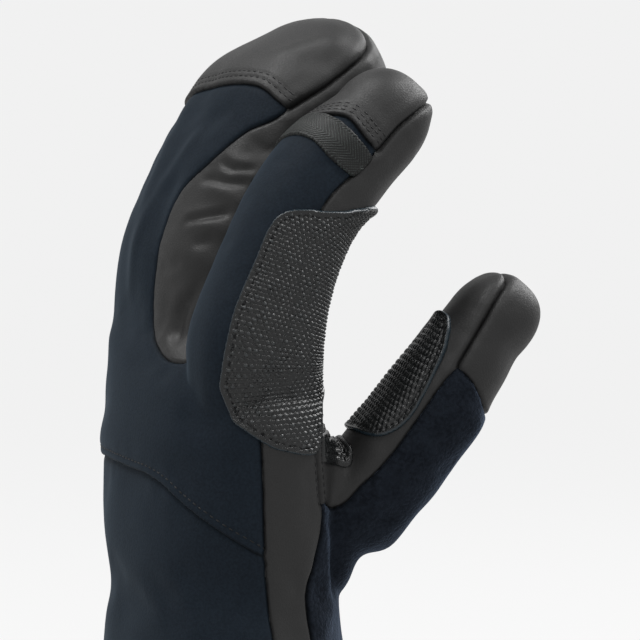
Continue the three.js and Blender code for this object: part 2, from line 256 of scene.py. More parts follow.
def triangles(piece):
    return sum(len(face.vertices) - 2 for face in piece.data.polygons)


def read_points(mesh):
    points = np.empty(len(mesh.vertices) * 3, "f")
    mesh.vertices.foreach_get("co", points)
    return points.reshape(-1, 3).astype(float)


def write_points(mesh, points):
    mesh.vertices.foreach_set("co", np.asarray(points, "f").ravel())
    mesh.update()


def roll_tube(name, tube, across, along):
    bpy.ops.object.select_all(action="DESELECT")
    bpy.ops.mesh.primitive_grid_add(x_subdivisions=across, y_subdivisions=along, size=1)
    piece = bpy.context.object
    piece.name = name
    net = read_points(piece.data)
    last = len(tube["sections"]) - 1
    rows = np.interp(net[:, 1] + 0.5, (0, 0.8, 1), (0, last, last + 1))
    write_points(piece.data, skin(tube, rows, (net[:, 0] + 0.5) * 360))
    edit_all()
    bpy.ops.mesh.remove_doubles(threshold=0.00002)
    bpy.ops.mesh.select_all(action="DESELECT")
    bpy.ops.mesh.select_non_manifold(extend=False, use_wire=False, use_multi_face=False,
                                     use_non_contiguous=False, use_verts=False)
    bpy.ops.mesh.extrude_region_move(TRANSFORM_OT_translate={"value": (0, 0, -0.006)})
    bpy.ops.mesh.edge_face_add()
    bpy.ops.mesh.select_all(action="SELECT")
    bpy.ops.mesh.normals_make_consistent(inside=False)
    bpy.ops.object.mode_set(mode="OBJECT")
    print(name, "has", len(piece.data.polygons), "faces")
    return piece


tubes = [
    roll_tube("hand_tube", HAND, 360, 300),
    roll_tube("index_tube", INDEX, 220, 160),
    roll_tube("thumb_tube", THUMB, 220, 160),
]

# %% [markdown]
# ## Melting the tubes into one skin
#
# The fingers grow out of the hand without a step. A voxel remesh melts overlapping closed
# tubes into one even skin, where a boolean would leave long thin faces at the joins. Its
# small steps are smoothed away afterwards.

# %% Join, remesh and smooth
FINE = 0.0008


def apply_modifier(piece, kind, **settings):
    """Adds a modifier with these settings and applies it."""
    only(piece)
    modifier = piece.modifiers.new(kind.title(), kind)
    for key, value in settings.items():
        setattr(modifier, key, value)
    bpy.ops.object.modifier_apply(modifier=modifier.name)


only(*tubes)
bpy.ops.object.join()
mitten_skin = bpy.context.object
mitten_skin.name = "mitten_skin"
apply_modifier(mitten_skin, "REMESH", mode="VOXEL", voxel_size=FINE, adaptivity=0)
apply_modifier(mitten_skin, "SMOOTH", factor=0.5, iterations=6)
print("skin:", len(mitten_skin.data.vertices), "points")

# %% [markdown]
# ## Finding the seams on the skin
#
# The frame already says which panel covers which place. Every point of the skin is asked how
# near each panel is. A seam runs where two panels are equally near. These distances are
# spread a little over the skin first, so that the seams come out as smooth curves. Before
# this the sharp valley between thumb and hand is softened, a copy is kept for the simulation,
# and the part of the skin below the hem is cut off, which opens the cuff.

# %% Open the hem and measure how near each panel is
PANELS = ["back_panel", "cuff_panel", "fingertip_cap", "finger_gusset", "index_cap",
          "palm_panel", "thumb_front", "thumb_cap", "thumb_suede"]
FAR = 0.012
# where the thumb leaves the hand, how far it is softened there, how often, and out to how
# many times that reach
CROTCH = skin(THUMB, [1.75], [22])[0]
CROTCH_REACH = 0.0085
CROTCH_ROUNDS = 160
SOFTENED = 2.5


def shell_of(piece):
    """A search tree over a piece's faces as they are now."""
    points = [corner.co.copy() for corner in piece.data.vertices]
    return BVHTree.FromPolygons(points, [tuple(face.vertices) for face in piece.data.polygons])


def distances_to(node, points):
    """How far points are from a solid of the frame, FAR at most."""
    tree = shell_of(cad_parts[node])
    low, high = [np.array(corner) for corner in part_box(node)]
    found = np.full(len(points), FAR)
    for i in np.flatnonzero(np.all((points > low - FAR) & (points < high + FAR), axis=1)):
        distance = tree.find_nearest(Vector(points[i]), FAR)[3]
        if distance is not None:
            found[i] = distance
    return found


def edge_pairs(mesh):
    pairs = np.empty(len(mesh.edges) * 2, "i")
    mesh.edges.foreach_get("vertices", pairs)
    return pairs.reshape(-1, 2)


def spread(values, pairs, times):
    """Evens out numbers kept on a mesh's points by averaging along its edges."""
    a, b = pairs[:, 0], pairs[:, 1]
    size = len(values)
    count = 1 + np.bincount(a, minlength=size) + np.bincount(b, minlength=size)
    for _ in range(times):
        near_by = np.bincount(a, values[b], size) + np.bincount(b, values[a], size)
        values = (values + near_by) / count
    return values


def spread_vectors(values, pairs, times):
    return np.stack([spread(column, pairs, times) for column in values.T], 1)


def soften(points, pairs, middle, reach, times):
    """Smooths the skin round one place, most in its middle."""
    far = np.linalg.norm(points - middle, axis=1) / reach
    near = np.flatnonzero(far < SOFTENED)
    number = np.full(len(points), -1)
    number[near] = np.arange(len(near))
    pairs = number[pairs[np.all(far[pairs] < SOFTENED, axis=1)]]
    weight = np.exp(-far[near] ** 2)[:, None]
    patch = points[near]
    for _ in range(times):
        patch = patch + (spread_vectors(patch, pairs, 1) - patch) * weight
    points[near] = patch
    return points


skin_points = soften(read_points(mitten_skin.data), edge_pairs(mitten_skin.data),
                     CROTCH, CROTCH_REACH, CROTCH_ROUNDS)
write_points(mitten_skin.data, skin_points)

only(mitten_skin)
bpy.ops.object.duplicate()
cloth_form = bpy.context.object
cloth_form.name = "cloth_form"

only(mitten_skin)
edit_all()
bpy.ops.mesh.bisect(plane_co=(0, 0, 0), plane_no=(0, 0, 1), clear_inner=True)
bpy.ops.object.mode_set(mode="OBJECT")
skin_points = read_points(mitten_skin.data)
skin_edges = edge_pairs(mitten_skin.data)
nearness = np.stack([spread(distances_to(name, skin_points), skin_edges, 8) for name in PANELS], 1)
print("points nearest each panel:", dict(zip(PANELS, np.bincount(nearness.argmin(1)).tolist())))

# %% [markdown]
# ## Drawing the seams as edges
#
# A seam has to follow the mesh's own edges before the skin can be taken apart. Each edge
# whose ends lie on different panels gets a new point where the two panels are equally near,
# and the new points are joined across the faces.

# %% Split the skin's faces along the seams
CLEAR = 0.12  # share of an edge that a new point keeps from either end


def join_new_points(drawing, new_points):
    bmesh.ops.connect_verts(drawing, verts=new_points, check_degenerate=False)
    drawing.verts.index_update()


def draw_seams(piece, nearness):
    """Marks the panel of every face by its material number and counts the seams' points."""
    drawing = bmesh.new()
    drawing.from_mesh(piece.data)
    panel_at = nearness.argmin(1)
    panel_of = {corner: panel_at[corner.index] for corner in drawing.verts}
    new_points = []
    for edge in [e for e in drawing.edges if panel_of[e.verts[0]] != panel_of[e.verts[1]]]:
        a, b = edge.verts
        here, there = panel_of[a], panel_of[b]
        before = nearness[a.index, there] - nearness[a.index, here]
        after = nearness[b.index, here] - nearness[b.index, there]
        part = min(max(before / max(before + after, 1e-9), CLEAR), 1 - CLEAR)
        new_points.append(bmesh.utils.edge_split(edge, a, part)[1])
    join_new_points(drawing, new_points)
    for face in drawing.faces:
        owners = [panel_of[corner] for corner in face.verts if corner in panel_of]
        if not owners:
            owners = [panel_of[other] for corner in face.verts for edge in corner.link_edges
                      for other in edge.verts if other in panel_of]
        face.material_index = max(set(owners), key=owners.count)
    drawing.to_mesh(piece.data)
    drawing.free()
    return len(new_points)


for name in PANELS:
    mitten_skin.data.materials.append(bpy.data.materials.new(name + "_mark"))
print("points on seams:", draw_seams(mitten_skin, nearness))

# %% [markdown]
# ## How each seam is sewn
#
# Most seams are turned: the two edges are sewn face to face and turned inwards, so that they
# sink into a narrow groove between two puffed edges. Three seams are lapped: the edge of one
# panel lies on its neighbour and is stitched down, so that it stands proud as a lip. The
# places of every seam are collected here, with the panel on each side.

# %% Collect the places of the seams
LAPPED = [("fingertip_cap", "back_panel"), ("index_cap", "back_panel"), ("back_panel", "cuff_panel")]


def seam_edges(mesh):
    """The edges of each seam as pairs of point numbers, by the two panels that meet there."""
    owners = {}
    for face in mesh.polygons:
        for key in face.edge_keys:
            owners.setdefault(key, []).append(face.material_index)
    seams = {}
    for key, found in owners.items():
        if len(found) == 2 and found[0] != found[1]:
            seams.setdefault(frozenset(PANELS[owner] for owner in found), []).append(key)
    return seams


def collect_seams(mesh):
    """Closely spaced places along the seams, by the two panels that meet there."""
    return {pair: [mesh.vertices[a].co.lerp(mesh.vertices[b].co, f)
                   for a, b in keys for f in (0, 0.25, 0.5, 0.75)]
            for pair, keys in seam_edges(mesh).items()}


seams = collect_seams(mitten_skin.data)
for pair, places in sorted(seams.items(), key=lambda item: -len(item[1])):
    print(sorted(pair), len(places))

# %% [markdown]
# ## Creases of the leather and the cloth
#
# Where the fingers bend, the leather of the gusset gathers into sharp little creases, and a
# long soft ridge runs down the back of the hand. A sculptor would draw them with a crease
# brush. Here each one is a stroke along a tube, with its height and half width, and it fades
# out at both ends. Its height is kept on the skin's points until the panels are sewn.

# %% Draw the creases
# tube, places of the stroke as row and turn, height in mm, half width in mm
CREASES = [
    (HAND, [(11.84, 56), (11.84, 64), (11.84, 76), (12.08, 82)], -0.5, 1.4),
    (HAND, [(11.6, 54), (11.68, 62), (11.76, 70), (11.84, 78)], -0.4, 1.3),
    (HAND, [(11.36, 40), (11.28, 52), (11.35, 63), (11.44, 74)], -1.3, 1.1),
    (HAND, [(10.96, 30), (11.04, 40), (11.04, 52), (11.12, 66), (11.2, 70)], -1.1, 1.1),
    (HAND, [(10.32, 30), (10.4, 38), (10.48, 48), (10.56, 58), (10.64, 66)], -1.6, 1.1),
    (HAND, [(10.05, 44), (10.1, 52), (10.2, 62)], -0.7, 1.5),
    (HAND, [(9.7, 14), (9.72, 26), (9.8, 38)], -0.5, 1.5),
    (HAND, [(8, 36), (8.8, 38), (9.12, 40), (9.28, 44), (9.36, 50), (9.68, 58)], -1.6, 1.9),
    (HAND, [(12.1, 14), (11.7, 9), (11.3, 4), (10.9, 0), (10.4, -2), (9.9, -3), (9.2, -4)], 0.6, 3),
    (HAND, [(13.1, 30), (13.5, 38), (13.9, 46), (14.2, 56)], 0.8, 4.5),
    (HAND, [(13.35, 52), (13.6, 62), (13.8, 72)], -0.5, 3.5),
    (HAND, [(4.1, 115), (3.8, 117), (3.4, 117), (3, 116)], 0.9, 2.2),
    (HAND, [(3.9, 124), (3.6, 125), (3.2, 125), (2.8, 124)], -1, 2.2),
    (HAND, [(4.95, 97), (4.8, 100), (4.6, 104)], -0.4, 1.4),
    (HAND, [(5.1, 101), (4.9, 104), (4.7, 106)], -0.4, 1.2),
    (HAND, [(3.5, 92), (3.2, 94), (2.9, 94)], -0.5, 2.2),
    (THUMB, [(1, 100), (1.3, 104), (1.7, 110)], -0.5, 2.4),
    (THUMB, [(2.6, 118), (2.8, 128), (2.9, 140)], -0.4, 3),
    (INDEX, [(5.9, 150), (6.2, 150), (6.5, 145)], -0.4, 3),
]
STROKE = 120  # points along a stroke
RIDGE = 0.15  # height of the low rim on both sides of a crease, as a share of its depth


def places_tree(places):
    tree = KDTree(len(places))
    for i, place in enumerate(places):
        tree.insert(place, i)
    tree.balance()
    return tree


def stroke_places(tube, places):
    """Closely spaced points along a stroke on a tube's skin."""
    rows, turns = np.array(places, float).T
    along = np.linspace(0, len(places) - 1, STROKE)
    number = np.arange(len(places))
    return skin(tube, np.interp(along, number, rows), np.interp(along, number, turns))


def crease_height(points):
    """How far the creases stand out at points, in millimetres."""
    height = np.zeros(len(points))
    for tube, places, tall, half_width in CREASES:
        line = stroke_places(tube, places)
        reach = 3.5 * half_width * MM
        near = np.all((points > line.min(0) - reach) & (points < line.max(0) + reach), axis=1)
        tree = places_tree(line)
        for i in np.flatnonzero(near):
            place, number, distance = tree.find(points[i])
            d = distance / MM / half_width
            fade = min(1, 5 * min(number, STROKE - 1 - number) / STROKE + 0.05)
            rims = RIDGE * math.exp(-((d - 2.2) / 1.2) ** 2)
            height[i] += tall * fade * (math.exp(-d**2) - rims)
    return height


still_points = read_points(mitten_skin.data)
still_edges = edge_pairs(mitten_skin.data)
creases = spread(crease_height(still_points), still_edges, 3)
print("creases from", creases.min().round(2), "to", creases.max().round(2), "mm")

# %% [markdown]
# ## Remembering where things lie
#
# Numbers can be kept on a mesh's points as attributes, and they stay there through cuts and
# modifiers. The skin keeps the direction that points out of the mitten, its creases, and how
# near it is to each piece that is sewn on top.

# %% Keep directions, creases and distances on the skin
ON_TOP = ["index_grip_patch", "thumb_grip_patch", "crotch_grip_patch", "webbing_loop"]


def keep(mesh, name, values):
    """Keeps one number or one vector for each point of a mesh."""
    kind, field = ("FLOAT_VECTOR", "vector") if np.ndim(values) == 2 else ("FLOAT", "value")
    if name not in mesh.attributes:
        mesh.attributes.new(name, kind, "POINT")
    mesh.attributes[name].data.foreach_set(field, np.asarray(values, "f").ravel())


def read(mesh, name):
    """The numbers or vectors that a mesh keeps under a name."""
    attribute = mesh.attributes[name]
    if attribute.data_type == "FLOAT":
        values = np.empty(len(mesh.vertices), "f")
        attribute.data.foreach_get("value", values)
        return values.astype(float)
    values = np.empty(len(mesh.vertices) * 3, "f")
    attribute.data.foreach_get("vector", values)
    return values.reshape(-1, 3).astype(float)


def unit(vectors):
    return vectors / np.maximum(np.linalg.norm(vectors, axis=1)[:, None], 1e-12)


directions = np.empty(len(still_points) * 3, "f")
mitten_skin.data.vertices.foreach_get("normal", directions)
directions = unit(spread_vectors(directions.reshape(-1, 3).astype(float), still_edges, 8))
keep(mitten_skin.data, "out", directions)
keep(mitten_skin.data, "crease", creases)
for name in ON_TOP:
    near = spread(distances_to(name, still_points), still_edges, 3)
    keep(mitten_skin.data, "near_" + name, near)
    print(name, "covers", int((near < 0.0009).sum()), "points")

# %% [markdown]
# ## Letting the padding swell
#
# Between its seams a padded mitten swells a little. A cloth simulation on a light copy of the
# skin finds that shape: the copy is remeshed at 4 mm, held at its seams and hem, and blown up
# from inside without gravity. The fine skin then follows the light copy with a Surface Deform
# modifier, because a simulation of the fine skin would take too long. The taut shell has no
# crumples, so the moves are limited and evened out.

# %% Simulate the light copy and let the skin follow
SWELL_LIMIT = 0.0007
SWELL_FRAMES = 20
LIGHT_STEP = 0.004
HELD_WIDTH = 0.0035
EVENED = 15  # times that the moves are averaged over the fine skin
CLOTH = {
    "quality": 6,
    "mass": 0.3,
    "tension_stiffness": 20,
    "compression_stiffness": 20,
    "shear_stiffness": 8,
    "bending_stiffness": 4,
    "use_pressure": True,
    "uniform_pressure_force": 4,
    "shrink_min": -0.008,
}


def hold_seams(piece, places):
    """A group of points that a cloth simulation holds still, strongest on the seams."""
    tree = places_tree(places)
    group = piece.vertex_groups.new(name="held")
    for corner in piece.data.vertices:
        distance = tree.find(corner.co)[2]
        weight = math.exp(-(distance / HELD_WIDTH) ** 2)
        if corner.co.z < LIGHT_STEP:
            weight = 1
        group.add([corner.index], weight, "REPLACE")
    return group.name


def swell(piece, held):
    cloth = piece.modifiers.new("Cloth", "CLOTH")
    for key, value in CLOTH.items():
        setattr(cloth.settings, key, value)
    cloth.settings.vertex_group_mass = held
    cloth.settings.effector_weights.gravity = 0
    cloth.collision_settings.use_self_collision = False
    for number in range(1, SWELL_FRAMES + 1):
        bpy.context.scene.frame_set(number)
    only(piece)
    bpy.ops.object.modifier_apply(modifier=cloth.name)
    bpy.context.scene.frame_set(1)


def limit_moves(piece, before, most):
    moved = read_points(piece.data) - before
    length = np.linalg.norm(moved, axis=1)[:, None]
    eased = most * np.tanh(length / most) / np.maximum(length, 1e-9)
    write_points(piece.data, before + moved * eased)
    print(f"swelled by {1000 * length.mean():.2f} mm on average, {1000 * length.max():.2f} mm at most")


def follow(piece, form, places_after):
    """Ties a fine mesh to a coarse one, reshapes the coarse one and keeps the result."""
    before = read_points(piece.data)
    only(piece)
    tie = piece.modifiers.new("Follow", "SURFACE_DEFORM")
    tie.target = form
    bpy.ops.object.surfacedeform_bind(modifier=tie.name)
    print("skin tied to the light copy:", tie.is_bound)
    write_points(form.data, places_after)
    only(piece)
    bpy.ops.object.modifier_apply(modifier=tie.name)
    moved = spread_vectors(read_points(piece.data) - before, edge_pairs(piece.data), EVENED)
    write_points(piece.data, before + moved)


apply_modifier(cloth_form, "REMESH", mode="VOXEL", voxel_size=LIGHT_STEP, adaptivity=0)
apply_modifier(cloth_form, "TRIANGULATE")
rest_places = read_points(cloth_form.data)
all_places = [place for places in seams.values() for place in places]
only(cloth_form)
bpy.ops.object.duplicate()
swollen = bpy.context.object
swell(swollen, hold_seams(swollen, all_places))
limit_moves(swollen, rest_places, SWELL_LIMIT)
follow(mitten_skin, cloth_form, read_points(swollen.data))
bpy.data.objects.remove(swollen)
bpy.data.objects.remove(cloth_form)
keep(mitten_skin.data, "ground", read_points(mitten_skin.data))
seams = collect_seams(mitten_skin.data)

# %% [markdown]
# ## Seams as lines
#
# The stitches will run beside the seams, so each seam is also kept as a line: its points in
# their order, found by walking along its edges from one end to the other.

# %% Trace the seams
SHORTEST = 12  # points in the shortest line that is kept


def trace(pairs):
    """Orders joined pairs of point numbers into lines, walked from their free ends."""
    links = {}
    for a, b in pairs:
        links.setdefault(a, []).append(b)
        links.setdefault(b, []).append(a)
    left = set(links)
    lines = []
    while left:
        start = min(left, key=lambda i: (len(links[i]) != 1, i))
        line = [start]
        left.discard(start)
        while onward := [i for i in links[line[-1]] if i in left]:
            line.append(onward[0])
            left.discard(onward[0])
        if len(line) > SHORTEST:
            lines.append(line)
    return lines


def traced(mesh, pairs):
    """The lines of joined pairs as arrays of places."""
    return [np.array([mesh.vertices[i].co for i in line]) for line in trace(pairs)]


seam_lines = {pair: traced(mitten_skin.data, keys)
              for pair, keys in seam_edges(mitten_skin.data).items()}
print("seam lines:", sum(len(lines) for lines in seam_lines.values()))

# %% [markdown]
# ## Taking the skin apart into panels
#
# Each panel becomes an object of its own, separated by the material number that marked it. A
# whole copy is kept as the ground that the patches are cut from.

# %% Separate the panels
only(mitten_skin)
bpy.ops.object.duplicate()
patch_ground = bpy.context.object
patch_ground.name = "patch_ground"
smooth_skin = shell_of(patch_ground)

only(mitten_skin)
edit_all()
bpy.ops.mesh.separate(type="MATERIAL")
bpy.ops.object.mode_set(mode="OBJECT")

panels = {}
for piece in bpy.context.selected_objects:
    owner = PANELS[piece.data.polygons[0].material_index] if len(piece.data.materials) > 1 else (
        piece.data.materials[0].name.removesuffix("_mark"))
    piece.data.materials.clear()
    panels[owner] = piece
print({name: len(piece.data.polygons) for name, piece in panels.items()})

# %% [markdown]
# ## Lines beside the seams
#
# A groove a millimetre wide would be ragged on a skin whose points are 0.8 mm apart. More
# points are drawn only where they are needed: along lines at fixed distances from the
# seams, in the same way as the seams themselves were drawn.

# %% Draw lines at fixed distances from the seams
LINES = (0.35, 0.8, 1.5, 2.5)
LEATHERS = {"fingertip_cap", "finger_gusset", "index_cap", "palm_panel", "thumb_front", "thumb_cap"}


def sewing(name, other):
    """How a panel's edge is sewn to its neighbour's."""
    if (name, other) in LAPPED:
        return "over"
    if (other, name) in LAPPED:
        return "under"
    return "deep" if {name, other} <= LEATHERS else "turned"


def seam_sides(name):
    """Search trees over the places of a panel's seams, by how that edge is sewn."""
    sides = {"deep": [], "turned": [], "over": [], "under": []}
    for pair, places in seams.items():
        if name in pair:
            sides[sewing(name, next(iter(pair - {name})))] += places
    return {side: places_tree(places) for side, places in sides.items() if places}


def draw_lines(piece, name, distances):
    """Adds edges to a panel along lines at some distances in mm from its seams."""
    tree = places_tree([place for pair, places in seams.items() if name in pair for place in places])
    drawing = bmesh.new()
    drawing.from_mesh(piece.data)
    for level in distances:
        drawing.verts.index_update()
        far = {corner: tree.find(corner.co)[2] / MM - level for corner in drawing.verts}
        new_points = []
        for edge in [e for e in drawing.edges if far[e.verts[0]] * far[e.verts[1]] < 0]:
            a, b = edge.verts
            part = far[a] / (far[a] - far[b])
            if 0.1 < part < 0.9:
                new_points.append(bmesh.utils.edge_split(edge, a, part)[1])
        join_new_points(drawing, new_points)
    drawing.to_mesh(piece.data)
    drawing.free()


for name, piece in panels.items():
    draw_lines(piece, name, LINES)
print({name: len(piece.data.polygons) for name, piece in panels.items()})

# %% [markdown]
# ## Sewing: grooves, lips and puckers
#
# Every point moves along its outward direction by an amount that depends on how far it is
# from a seam. At a turned seam the skin sinks into a thin groove, and between two leathers the
# groove is deep and its edges puff up. At a lapped seam the upper edge stands up as a rounded
# lip with a sunk row of stitches, and the lower one ducks under it. The thread gathers the
# leather, so small puckers cross the seams and fade away from them.

# %% Shape the panels beside their seams
SEAM_REACH = 14
HEM_ROUNDING = 1.4
# height in mm of the puckers beside seams, height and size in mm of the slow waves of the skin
HAND_FEEL = {
    "back_panel": (0.03, 0.14, 26),
    "cuff_panel": (0.03, 0.22, 24),
    "finger_gusset": (0.16, 0.22, 13),
    "palm_panel": (0.13, 0.25, 14),
    "thumb_front": (0.12, 0.2, 12),
    "thumb_cap": (0.1, 0.2, 12),
    "thumb_suede": (0.12, 0.35, 11),
    "fingertip_cap": (0.07, 0.2, 15),
    "index_cap": (0.06, 0.16, 13),
}
# distances in mm of the rows of stitches from the edge of each lip
STITCHED_LIPS = {"fingertip_cap": (2.4, 4.4), "index_cap": (1.9, 3.4, 4.9), "back_panel": (2.4,)}
# strength, size and reach in mm of the fine and of the wide puckers
PUCKERS = ((2, 3.2, 4), (1.6, 7.5, 9))
HEM_LINE = 11  # height in mm of the hem's row of stitches


def bump(distance, middle, width):
    return np.exp(-((distance - middle) / width) ** 2)


def seam_shape(side, d, rows=()):
    """How far the skin stands out in mm at distances d in mm from one kind of seam."""
    if side == "deep":
        return -1.15 * bump(d, 0, 0.7) + 0.35 * bump(d, 2.8, 2)
    if side == "turned":
        return -0.9 * bump(d, 0, 0.6) + 0.08 * bump(d, 3, 2)
    if side == "over":
        lip = 0.75 * np.sqrt(np.clip(1 - (1 - np.minimum(d / 0.75, 1)) ** 2, 0, 1)) * bump(d, 0, 7)
        return lip - 0.22 * sum(bump(d, row, 0.55) for row in rows)
    return -0.55 * bump(d, 0, 1.3)


def nearest_on(tree, points):
    found = [tree.find(point) for point in points]
    places = np.array([hit[0] for hit in found])
    return places, np.array([hit[2] for hit in found]) / MM


def waves(places, size):
    return np.array([noise.noise(place) for place in places / (size * MM)])


def pucker(places, d, size, reach):
    """Small ripples across a seam, the same along each line that leaves it."""
    height = np.zeros(len(d))
    near = d < 3 * reach
    height[near] = waves(places[near], size)
    return height * np.exp(-d / reach) * (1 - np.exp(-(d / 1.2) ** 2))


def sew(name, piece):
    mesh = piece.data
    points = read_points(mesh)
    gather, swing, swing_size = HAND_FEEL[name]
    height = np.zeros(len(points))
    fade = np.ones(len(points))
    nearest_seam = np.full(len(points), float(SEAM_REACH))
    for side, tree in seam_sides(name).items():
        places, d = nearest_on(tree, points)
        height += seam_shape(side, d, STITCHED_LIPS.get(name, ())) * fade
        height += gather * sum(k * pucker(places, d, size, reach) for k, size, reach in PUCKERS) * fade
        fade *= 1 - bump(d, 0, 2)
        nearest_seam = np.minimum(nearest_seam, d)
    inside = 1 - bump(nearest_seam, 0, 3)
    height += 2 * swing * waves(points, swing_size) * inside + read(mesh, "crease")
    edge = np.clip(HEM_ROUNDING - points[:, 2] / MM, 0, HEM_ROUNDING)
    height -= HEM_ROUNDING - np.sqrt(HEM_ROUNDING**2 - edge**2)
    height -= 0.3 * bump(points[:, 2] / MM, HEM_LINE, 0.9)
    write_points(mesh, points + read(mesh, "out") * height[:, None] * MM)
    # The finishes read this distance to paint shade in the grooves and a highlight beside them.
    keep(mesh, "seam_distance", nearest_seam)


for name, piece in panels.items():
    sew(name, piece)
print("sewn:", len(panels), "panels")

# %% [markdown]
# ## Giving the panels their thickness
#
# Shell, padding and lining together are 3.5 mm thick. Solidify would push the walls of the
# narrow grooves through each other, so the inner wall is extruded from the sewn skin and then
# laid at an even depth under the smooth one. It is marked, because it gets the lining's finish.

# %% Extrude the inner walls
WALL = 3.5
SMOOTH_ANGLE = math.radians(70)
# shares of their faces that the hidden walls of the panels and of the sheets keep
PANEL_BACK = 0.12
SHEET_BACK = 0.1


def extrude_back(piece):
    """Closes a sheet with a back wall, WALL under its ground or as high as it keeps."""
    drawing = bmesh.new()
    drawing.from_mesh(piece.data)
    ground = drawing.verts.layers.float_vector["ground"]
    out = drawing.verts.layers.float_vector["out"]
    thickness = drawing.verts.layers.float.get("thickness")
    made = bmesh.ops.extrude_face_region(drawing, geom=drawing.faces[:], use_keep_orig=True)["geom"]
    for part in made:
        if isinstance(part, bmesh.types.BMVert):
            rise = -WALL if thickness is None else part[thickness]
            part.co = part[ground] + part[out].normalized() * rise * MM
        elif isinstance(part, bmesh.types.BMFace):
            part.material_index = 1
    bmesh.ops.recalc_face_normals(drawing, faces=drawing.faces[:])
    drawing.to_mesh(piece.data)
    drawing.free()


def thin_back(piece, share):
    """Makes the hidden back wall of a piece coarser."""
    only(piece)
    for face in piece.data.polygons:
        face.select = face.material_index == 1
    bpy.ops.object.mode_set(mode="EDIT")
    bpy.ops.mesh.select_mode(type="FACE")
    bpy.ops.mesh.decimate(ratio=share)
    bpy.ops.mesh.select_mode(type="VERT")
    bpy.ops.object.mode_set(mode="OBJECT")


def shade_smooth(piece):
    only(piece)
    bpy.ops.object.shade_smooth_by_angle(angle=SMOOTH_ANGLE)


sewn_skins = {}
for name, piece in panels.items():
    sewn_skins[name] = shell_of(piece)
    piece.data.materials.append(bpy.data.materials.new("front_" + name))
    piece.data.materials.append(bpy.data.materials.new("back_" + name))
    extrude_back(piece)
    thin_back(piece, PANEL_BACK)
    piece.data.materials.clear()
    shade_smooth(piece)
    print(name, triangles(piece), "triangles")

# %% [markdown]
# ## The sewn-on patches and the finger loop
#
# The grip patches and the webbing are cut from the same skin as a tailor would cut them from
# a pattern. Faces that lie under a solid of the frame are kept, the cloth's edge is cut along
# a line of even distance, and the sheet is subdivided until its points are 0.3 mm apart.

# %% Cut the patches from the skin
OUTLINE = 0.9  # mm from the frame's solid to the edge that is cut
RIM_ROUNDS = 3  # times that the cut edge is evened


def cut_patch(node):
    """The part of the skin that lies under a piece of the frame, finely divided."""
    only(patch_ground)
    bpy.ops.object.duplicate()
    piece = bpy.context.object
    piece.name = node + "_sheet"
    drawing = bmesh.new()
    drawing.from_mesh(piece.data)
    near = drawing.verts.layers.float["near_" + node]
    limit = OUTLINE * MM
    far = [face for face in drawing.faces if all(corner[near] > limit for corner in face.verts)]
    bmesh.ops.delete(drawing, geom=far, context="FACES")
    new_points = []
    for edge in drawing.edges[:]:
        a, b = edge.verts
        if (a[near] - limit) * (b[near] - limit) < 0:
            part = min(max((a[near] - limit) / (a[near] - b[near]), 0.05), 0.95)
            cut = bmesh.utils.edge_split(edge, a, part)[1]
            cut[near] = limit
            new_points.append(cut)
    join_new_points(drawing, new_points)
    beyond = [face for face in drawing.faces
              if sum(corner[near] for corner in face.verts) > (limit + 1e-7) * len(face.verts)]
    bmesh.ops.delete(drawing, geom=beyond, context="FACES")
    loose = [corner for corner in drawing.verts if not corner.link_faces]
    bmesh.ops.delete(drawing, geom=loose, context="VERTS")
    for _ in range(RIM_ROUNDS):
        rim = [corner for corner in drawing.verts if corner.is_boundary]
        middles = []
        for corner in rim:
            others = [edge.other_vert(corner).co for edge in corner.link_edges if edge.is_boundary]
            middles.append((corner.co * 2 + sum(others, Vector())) / (2 + len(others)))
        for corner, middle in zip(rim, middles):
            corner.co = middle
    bmesh.ops.subdivide_edges(drawing, edges=drawing.edges[:], cuts=2, use_grid_fill=True)
    for face in drawing.faces:
        face.material_index = 0
    drawing.to_mesh(piece.data)
    drawing.free()
    keep(piece.data, "ground", read_points(piece.data))
    return piece


def rim_keys(mesh):
    """The edges of a sheet that belong to only one face."""
    uses = {}
    for face in mesh.polygons:
        for key in face.edge_keys:
            uses[key] = uses.get(key, 0) + 1
    return [key for key, count in uses.items() if count == 1]


sheets = {node: cut_patch(node) for node in ON_TOP}
rim_lines = []
for node, piece in sheets.items():
    rim = rim_keys(piece.data)
    places = [piece.data.vertices[i].co for key in rim for i in key]
    keep(piece.data, "edge_distance", nearest_on(places_tree(places), read_points(piece.data))[1])
    if node in ("index_grip_patch", "thumb_grip_patch"):
        rim_lines += [(node, line) for line in traced(piece.data, rim)]
print({node: len(piece.data.polygons) for node, piece in sheets.items()})

# %% [markdown]
# ## Places on a finger
#
# Knit and webbing follow the finger that they are sewn to. Each point gets two lengths: how
# far it lies along the finger's middle line, and how far round it.

# %% Measure along a finger and round it
MIDDLES = 400  # points of a finger's middle line


def along_and_round(tube, points, radius, facing):
    """Millimetres along a tube's middle line, and round it from the side that it faces."""
    rows = np.linspace(0, len(tube["sections"]) - 1, MIDDLES)
    middles = section_at(tube, rows)[:, :3]
    tangents = unit(np.gradient(middles, axis=0))
    facing = np.array(facing, float)
    lengths = np.concatenate(([0], np.cumsum(np.linalg.norm(np.diff(middles, axis=0), axis=1))))
    tree = places_tree(middles)
    number = np.array([tree.find(point)[1] for point in points / MM])
    offset = points / MM - middles[number]
    along = np.einsum("ij,ij->i", offset, tangents[number])
    front = unit(facing - tangents * (tangents @ facing)[:, None])
    side = np.cross(tangents, front)
    angle = np.arctan2(np.einsum("ij,ij->i", offset, side[number]),
                       np.einsum("ij,ij->i", offset, front[number]))
    return lengths[number] + along, angle * radius


# %% [markdown]
# ## Grip knit
#
# The patches are knitted from a hard glossy yarn whose stitches stand up like grains of
# rice, in staggered slanting rows. They are raised in the mesh, because they also make the
# fine teeth along the patch's outline. The patch has a thin bound edge, a flat border and a
# sunk row of stitches. On the thumb the rows are pulled apart into ribs, and in its crotch the
# knit spans the valley as a round saddle.

